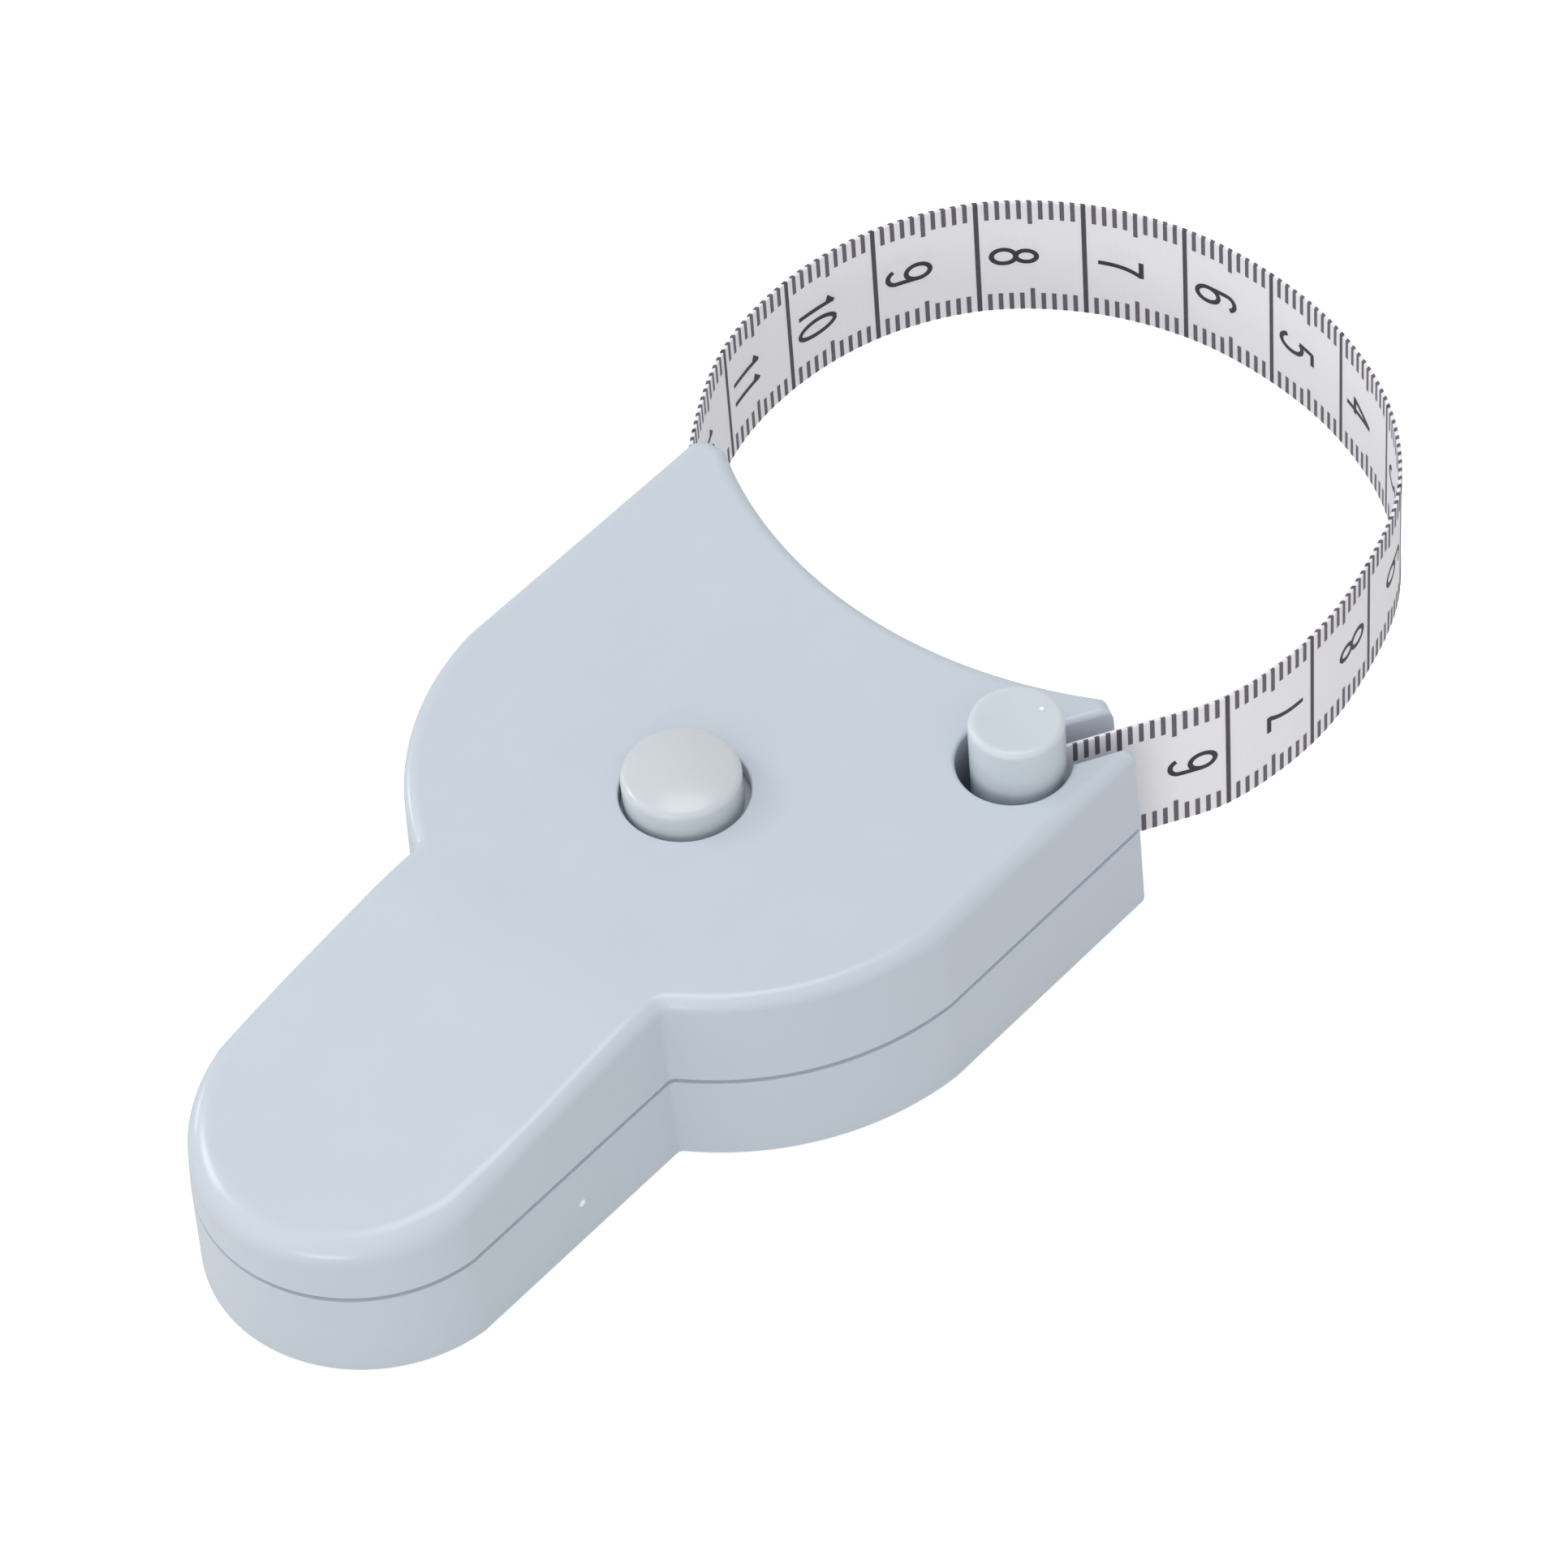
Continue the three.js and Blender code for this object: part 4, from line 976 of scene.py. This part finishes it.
class TAPE_OT_shells(bpy.types.Operator):
    """Build the two moulded shells of the case"""
    bl_idname = "tape_measure.shells"
    bl_label = "Case Shells"

    def execute(self, context):
        s = sizes()
        wall, rim, slot_rim = s.wall / MM, s.rim_round / MM, s.slot_round / MM
        top, end, bottom = s.top_round / MM, s.end_round / MM, s.bottom_round / MM
        full, groove = s.case_height / MM, s.groove_depth / MM
        upper_low = PARTING + s.parting_gap / MM
        shoulder, tongue_top = upper_low - SEAM, PARTING + TONGUE
        rim_top = tongue_top + TONGUE_GAP
        finish = moulded_abs("polished moulded ABS", tuple(colours().shell))

        lower_profile = [(wall, level(FLOOR)), (wall, level(tongue_top)),
                         (RIM + TONGUE_GAP, level(tongue_top)), (RIM + TONGUE_GAP, level(shoulder)),
                         (groove, level(shoulder)), (groove, level(PARTING)),
                         (NICK + lean_at(PARTING), level(PARTING)),
                         (lean_at(PARTING), level(PARTING - NICK)), (lean_at(bottom), level(bottom))]
        lower_profile += [(out + lean_at(bottom - up), level(bottom - up))
                          for out, up in quarter(bottom, 4)[1:]]
        upper_profile = [(wall, below(ROOF)), (wall, level(rim_top)), (RIM, level(rim_top)),
                         (RIM, level(upper_low)), (NICK + lean_at(upper_low), level(upper_low)),
                         (lean_at(upper_low), level(upper_low + NICK)), (SIDE_DRAFT, below(top, end))]
        upper_profile += [(SIDE_DRAFT + out, below(top - up, end - far_up), SIDE_DRAFT + far_out)
                          for (out, up), (far_out, far_up) in zip(quarter(top, 8)[1:], quarter(end, 8)[1:])]
        lower = case_body("lower_case_shell", lower_profile)
        upper = case_body("upper_case_shell", upper_profile)

        # The walls round the pocket and along the slot end inside the case's own walls
        span = POCKET_RADIUS + POCKET_WALL
        for shell, low, high in ((lower, FLOOR / 2, PARTING), (upper, upper_low, full - ROOF / 2)):
            block = case_body("pocket block", [(wall / 2, level(low)), (wall / 2, level(high))])
            surround = rod("pocket wall", span, low - 1, high + 1, POCKET)
            carve(surround, slab("slot walls", POCKET, SLOT_TURN, (0, RIGHT_REACH), (-span, span * 2),
                                 (low - 0.9, high + 0.9)), "UNION")
            carve(block, surround, "INTERSECT")
            carve(shell, block, "UNION")
        lower_posts = [rod("post", POST_RADIUS, FLOOR / 2, PARTING - POST_GAP, place, 40) for place in SCREWS]
        carve(lower, join(lower_posts), "UNION")
        upper_posts = [rod("post", POST_RADIUS, PARTING + UPPER_POST_GAP, top_at(y) - ROOF / 2, (x, y), 40)
                       for x, y in SCREWS]
        carve(upper, join(upper_posts), "UNION")
        side = GRIP_HALF - wall / 2
        ribs = [slab("rib", (0, y), 0, (-side, side), (-RIB_HALF, RIB_HALF), (FLOOR / 2, FLOOR + RIB_HEIGHT))
                for y in RIBS]
        carve(lower, join(ribs), "UNION")

        for shell in (lower, upper):
            flare = [(out, full - rim + up) for out, up in quarter(rim, 5)]
            slot_flare = [(out, full - slot_rim + up) for out, up in quarter(slot_rim, 6)]
            pocket = [(0, POCKET_FLOOR), (POCKET_RADIUS, POCKET_FLOOR)]
            pocket += [(POCKET_RADIUS + out, z) for out, z in flare]
            pocket += [(POCKET_RADIUS + rim, full + 1), (0, full + 1)]
            carve(shell, spun("pocket", pocket, POCKET, 128))
            carve(shell, slab("slot", POCKET, SLOT_TURN, (0, RIGHT_REACH + 1),
                              (-SLOT_WIDTH / 2, SLOT_WIDTH / 2), (POCKET_FLOOR, full + 1), slot_flare))
            carve(shell, slab("slit", SLIT, SLIT_TURN, (-wall * 2, wall * 2),
                              (-SLIT_WIDTH / 2, SLIT_WIDTH / 2),
                              (TAPE_LOW - TAPE_ROOM, TAPE_LOW + TAPE_WIDTH + TAPE_ROOM)))
        hole = [(0, full - ROOF - 1), (BUTTON_HOLE, full - ROOF - 1)]
        hole += [(BUTTON_HOLE + out, full - BUTTON_HOLE_ROUND + up)
                 for out, up in quarter(BUTTON_HOLE_ROUND, 5)]
        hole += [(BUTTON_HOLE + BUTTON_HOLE_ROUND, full + 1), (0, full + 1)]
        carve(upper, spun("button hole", hole, sides=128))
        well = [(0, -1), (WELL_RADIUS, -1), (WELL_RADIUS, WELL_TOP), (SHANK_HOLE, WELL_TOP),
                (SHANK_HOLE, PARTING + 3), (0, PARTING + 3)]
        carve(lower, join([spun("screw well", well, place, 48) for place in SCREWS]))
        carve(upper, join([rod("pilot hole", SHANK_HOLE, PARTING, PILOT_TOP, place, 32) for place in SCREWS]))
        carve(lower, rod("arbor seat", ARBOR_SEAT, FLOOR - 0.5, FLOOR + 1))

        finish_piece(lower, "case", ["lower_shell"], finish)
        finish_piece(upper, "case", ["upper_shell"], finish)
        along, up = SHELL_GATE
        mark = gate_mark("shell_gate_mark", (GRIP_HALF - lean_at(up), along, up), (0.35, 1, 1),
                         SHELL_GATE_RADIUS)
        # The gate mark's near white is a painted highlight
        finish_piece(mark, "case", [], whitened_abs("shell's gate mark, ABS with painted highlight"))
        return {"FINISHED"}


class TAPE_OT_button(bpy.types.Operator):
    """Build the domed push button"""
    bl_idname = "tape_measure.button"
    bl_label = "Button"

    def execute(self, context):
        s = sizes()
        top, radius = s.button_top / MM, s.button_radius / MM
        dome, edge = s.button_dome / MM, s.button_round / MM
        flange_high = s.case_height / MM - ROOF - FLANGE_GAP
        flange_low = flange_high - FLANGE_THICKNESS
        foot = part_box("button")[0].z / MM
        profile = [(STEM_BORE, foot), (STEM_RADIUS, foot), (STEM_RADIUS, flange_low),
                   (FLANGE_RADIUS, flange_low), (FLANGE_RADIUS, flange_high), (radius, flange_high)]
        ball = (radius ** 2 + dome ** 2) / (2 * dome)
        slope = math.asin((radius - edge) / (ball - edge))
        level_at = top - ball + (ball - edge) * math.cos(slope)
        rounds = arc(Vector((radius - edge, level_at)), edge, 0, math.pi / 2 - slope, 8)
        rounds += arc(Vector((0, top - ball)), ball, math.pi / 2 - slope, math.pi / 2, 14)[1:-1]
        profile += [tuple(p) for p in rounds]
        profile += [(0, top), (0, top - STEM_HOLLOW), (STEM_BORE, top - STEM_HOLLOW), (STEM_BORE, foot)]
        button = spun("push_button", profile, BUTTON_CENTRE, 128)
        finish_piece(button, "button", ["button"],
                     moulded_abs("polished ABS of the button", tuple(colours().button), 0.2, 0.015, glow=0.6))
        return {"FINISHED"}


class TAPE_OT_peg(bpy.types.Operator):
    """Build the peg that the end of the tape is pinned in"""
    bl_idname = "tape_measure.peg"
    bl_label = "Peg"

    def execute(self, context):
        s = sizes()
        top, radius, edge = s.peg_top / MM, s.peg_radius / MM, s.peg_round / MM
        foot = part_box("peg")[0].z / MM
        centre = peg_and_mouth()[0]
        profile = [(0, foot), (radius - edge, foot), (radius, foot + edge)]
        profile += [(radius - out, top - edge + up) for out, up in quarter(edge, 6)]
        face, dish = radius - edge, s.peg_dish / MM
        profile += [(face * (1 - i / 8), top - dish * (1 - (1 - i / 8) ** 2)) for i in range(1, 9)]
        peg = spun("tape_peg", profile, centre, 128)
        high = TAPE_LOW + TAPE_RISE + TAPE_WIDTH + TAPE_ROOM
        carve(peg, slab("peg slit", centre, SLOT_TURN, (0, radius + 1), (-PEG_SLIT_HALF, PEG_SLIT_HALF),
                        (foot - 1, high)))
        carve(peg, rod("peg bore", PIN_BORE, foot - 1, high, centre, 48))
        finish_piece(peg, "peg", ["peg"],
                     moulded_abs("polished ABS of the peg", tuple(colours().peg), 0.24, glow=0.6))
        low = top - dish * (1 - ((GATE - centre).length / face) ** 2)
        mark = gate_mark("peg_gate_mark", (*GATE, low), (1, 1, 0.5), GATE_RADIUS)
        # The gate mark's near white is a painted highlight
        finish_piece(mark, "peg", [], whitened_abs("peg's gate mark, ABS with painted highlight"))
        return {"FINISHED"}


class TAPE_OT_tape(bpy.types.Operator):
    """Build the printed tape: the winding on the reel, the lead to the slit and the loop to the peg"""
    bl_idname = "tape_measure.tape"
    bl_label = "Tape"

    def execute(self, context):
        tape = Tape()
        thick = sizes().tape_thickness / MM
        cloth = coated_cloth()

        loop_length = tape.route.length - tape.slit
        loop = ribbon("tape_loop_strip", lambda u, v: tape.place(tape.slit + u, v), loop_length, 520, thick)
        loop.data.materials.append(cloth)
        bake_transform(loop)
        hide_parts("tape_loop", "tape_tail", "tape_hem")

        lead = ribbon("tape_lead_strip", tape.place, tape.slit - 0.05, 60, thick)

        away = tape.route.points[0]
        outermost = math.atan2(away.y, away.x)
        depth = PACK_RADIUS - HUB_RADIUS - thick
        wound_length = math.pi * (PACK_RADIUS + HUB_RADIUS) * TURNS

        def wound(length, across):
            share = length / wound_length
            radius = HUB_RADIUS + thick / 2 + depth * share
            angle = outermost + 2 * math.pi * TURNS * (1 - share)
            return Vector((radius * math.cos(angle), radius * math.sin(angle), TAPE_LOW + across))

        pack = ribbon("tape_winding", wound, wound_length, TURNS * 72, thick * 0.9, 1)
        for strip, body, node in ((lead, "case", "tape_lead"), (pack, "reel", "tape_pack")):
            strip.data.materials.append(cloth)
            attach(strip, body)
            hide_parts(node)

        c = colours()
        inks = [printing_ink("screen printed tick ink", tuple(c.tick_ink)),
                printing_ink("screen printed line ink", tuple(c.line_ink)),
                printing_ink("screen printed number ink", tuple(c.digit_ink))]
        for name, zero, face in (("inner_scale_print", INNER_ZERO, -1), ("outer_scale_print", OUTER_ZERO, 1)):
            bm = print_scale(tape, zero, face)
            bmesh.ops.solidify(bm, geom=bm.faces[:], thickness=sizes().ink_thickness / MM)
            scale = piece(name, bm)
            for ink in inks:
                scale.data.materials.append(ink)
            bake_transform(scale)
        return {"FINISHED"}


class TAPE_OT_inner_parts(bpy.types.Operator):
    """Give the reel, arbor, brake and mainspring inside the case their finishes"""
    bl_idname = "tape_measure.inner_parts"
    bl_label = "Inner Parts"

    def execute(self, context):
        c = colours()
        reel = moulded_acetal("white acetal", tuple(c.reel))
        inner = moulded_acetal("grey acetal", tuple(c.inner))
        spring = drawn_steel("blued spring steel", tuple(c.spring), 0.3, 0.6)
        zinc = drawn_steel("zinc plated steel", tuple(c.zinc), 0.32, 0.3)
        finishes = {"reel": reel, "reel_cap": reel, "spring_cover": inner, "arbor": inner,
                    "thrust_washer": inner, "brake_ring": inner, "mainspring": spring, "peg_pin": zinc}
        for name, finish in finishes.items():
            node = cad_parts[name]
            for held in node.material_slots:
                held.material = finish
            if not node.material_slots:
                node.data.materials.append(finish)
        return {"FINISHED"}


class TAPE_OT_button_spring(bpy.types.Operator):
    """Build the coil that pushes the button up, held between the arbor and the button"""
    bl_idname = "tape_measure.button_spring"
    bl_label = "Button Spring"

    def execute(self, context):
        low, high = (corner.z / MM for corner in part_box("button_spring"))
        wire = COIL_WIRE / 2
        rise = high - low - COIL_WIRE
        steps = COIL_TURNS * 24
        bm = bmesh.new()
        bmesh.ops.create_circle(bm, cap_ends=True, radius=wire, segments=12)
        bmesh.ops.rotate(bm, cent=(0, 0, 0), matrix=Matrix.Rotation(math.pi / 2, 3, "X"), verts=bm.verts)
        bmesh.ops.translate(bm, vec=(COIL_RADIUS, 0, low + wire), verts=bm.verts)
        bmesh.ops.spin(bm, geom=bm.faces[:], cent=(0, 0, 0), axis=(0, 0, 1), dvec=(0, 0, rise / steps),
                       angle=2 * math.pi * COIL_TURNS, steps=steps)
        bmesh.ops.remove_doubles(bm, verts=bm.verts, dist=0.0005)
        coil = piece("button_coil_spring", bm, 60)
        coil.data.materials.append(drawn_steel("blued spring wire", tuple(colours().spring), 0.3, 0.6))
        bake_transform(coil)
        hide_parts("button_spring")
        return {"FINISHED"}


class TAPE_OT_screws(bpy.types.Operator):
    """Build the four screws that hold the shells together from below"""
    bl_idname = "tape_measure.screws"
    bl_label = "Screws"

    def execute(self, context):
        zinc = drawn_steel("zinc plated screw", tuple(colours().zinc), 0.3, 0.2)
        for i, (x, y) in enumerate(SCREWS, 1):
            screw = spun("case_screw_dress", SCREW_PROFILE, (x, y), 48)
            for turn in (0, math.pi / 2):
                carve(screw, slab("cross recess", (x, y), turn, (-RECESS_REACH, RECESS_REACH),
                                  (-RECESS_HALF, RECESS_HALF), RECESS_HEIGHTS))
            screw.name = f"case_screw_dress_{i}"
            finish_piece(screw, "case", [f"case_screw_{i}"], zinc)
        return {"FINISHED"}


class TAPE_OT_stage(bpy.types.Operator):
    """Set up the pale floor, the soft lights and the camera"""
    bl_idname = "tape_measure.stage"
    bl_label = "Stage"

    def execute(self, context):
        bm = bmesh.new()
        bmesh.ops.create_grid(bm, x_segments=1, y_segments=1, size=3000)
        floor = piece("floor", bm)
        floor.data.transform(Matrix.Translation((0, 0, -TABLE_DROP)))
        floor.data.materials.append(light_table())

        world = context.scene.world or bpy.data.worlds.new("studio")
        context.scene.world = world
        world.use_nodes = True
        tree = world.node_tree
        tree.nodes.clear()
        way = add(tree, "ShaderNodeTexCoord").outputs["Generated"]
        facing = add(tree, "ShaderNodeVectorMath", {0: way, 1: Vector(TENT_FRONT).normalized()},
                     operation="DOT_PRODUCT")
        share = add(tree, "ShaderNodeMapRange",
                    {"Value": facing.outputs["Value"], "From Min": TENT_EDGE, "To Min": TENT_LIGHT,
                     "To Max": TENT_LIGHT + TENT_FRONT_LIGHT}, interpolation_type="SMOOTHSTEP")
        tent = add(tree, "ShaderNodeBackground", {"Strength": share.outputs["Result"]})
        tent.inputs["Color"].default_value = grey(1.0)
        add(tree, "ShaderNodeOutputWorld", {"Surface": tent.outputs["Background"]})

        # Name, place, width, height and power of each soft box; all face the middle of the case
        boxes = (("overhead soft box", (-0.05, 0.05, 1.0), 0.5, 0.5, OVERHEAD_POWER),
                 ("key soft box", (-0.84, -0.356, 0.615), 0.36, 0.36, KEY_POWER),
                 ("front strip light", (0.27, -0.94, 0.21), 0.4, 0.12, FRONT_POWER),
                 ("left strip light", (-0.98, -0.14, 0.08), 0.2, 0.2, LEFT_POWER))
        for name, place, width, height, power in boxes:
            light = bpy.data.lights.new(name, "AREA")
            light.shape = "RECTANGLE"
            light.size, light.size_y = width, height
            light.energy = power
            lamp = bpy.data.objects.new(name, light)
            lamp.location = place
            lamp.rotation_mode = "QUATERNION"
            lamp.rotation_quaternion = (Vector((0, 0, 0.01)) - lamp.location).to_track_quat("-Z", "Y")
            context.scene.collection.objects.link(lamp)
        context.scene.view_settings.view_transform = "Standard"

        lens = bpy.data.cameras.new("camera")
        lens.lens = LENS
        lens.sensor_width = SENSOR
        lens.clip_start = 0.05
        lens.clip_end = 20
        camera = bpy.data.objects.new("camera", lens)
        camera.location = CAMERA_PLACE
        camera.rotation_euler = [math.radians(degrees) for degrees in CAMERA_DEGREES]
        context.scene.collection.objects.link(camera)
        context.scene.camera = camera
        return {"FINISHED"}


OPERATORS = (TAPE_OT_shells, TAPE_OT_button, TAPE_OT_peg, TAPE_OT_tape, TAPE_OT_inner_parts,
             TAPE_OT_button_spring, TAPE_OT_screws, TAPE_OT_stage)


class TAPE_PT_panel(bpy.types.Panel):
    """Builders, sizes and colours of the tape measure"""
    bl_idname = "TAPE_PT_panel"
    bl_label = "Tape Measure"
    bl_space_type = "VIEW_3D"
    bl_region_type = "UI"
    bl_category = "Tape Measure"

    def draw(self, context):
        for operator in OPERATORS:
            self.layout.operator(operator.bl_idname)
        for group in (context.scene.tape_measure_sizes, context.scene.tape_measure_colours):
            for name in group.__annotations__:
                self.layout.prop(group, name)


CLASSES = (TapeMeasureSizes, TapeMeasureColours, *OPERATORS, TAPE_PT_panel)


def register():
    for cls in CLASSES:
        bpy.utils.register_class(cls)
    bpy.types.Scene.tape_measure_sizes = PointerProperty(type=TapeMeasureSizes)
    bpy.types.Scene.tape_measure_colours = PointerProperty(type=TapeMeasureColours)


def unregister():
    del bpy.types.Scene.tape_measure_sizes
    del bpy.types.Scene.tape_measure_colours
    for cls in reversed(CLASSES):
        bpy.utils.unregister_class(cls)


def main():
    register()
    bpy.ops.tape_measure.shells()
    bpy.ops.tape_measure.button()
    bpy.ops.tape_measure.peg()
    bpy.ops.tape_measure.tape()
    bpy.ops.tape_measure.inner_parts()
    bpy.ops.tape_measure.button_spring()
    bpy.ops.tape_measure.screws()
    bpy.ops.tape_measure.stage()


if __name__ == "__main__":
    main()
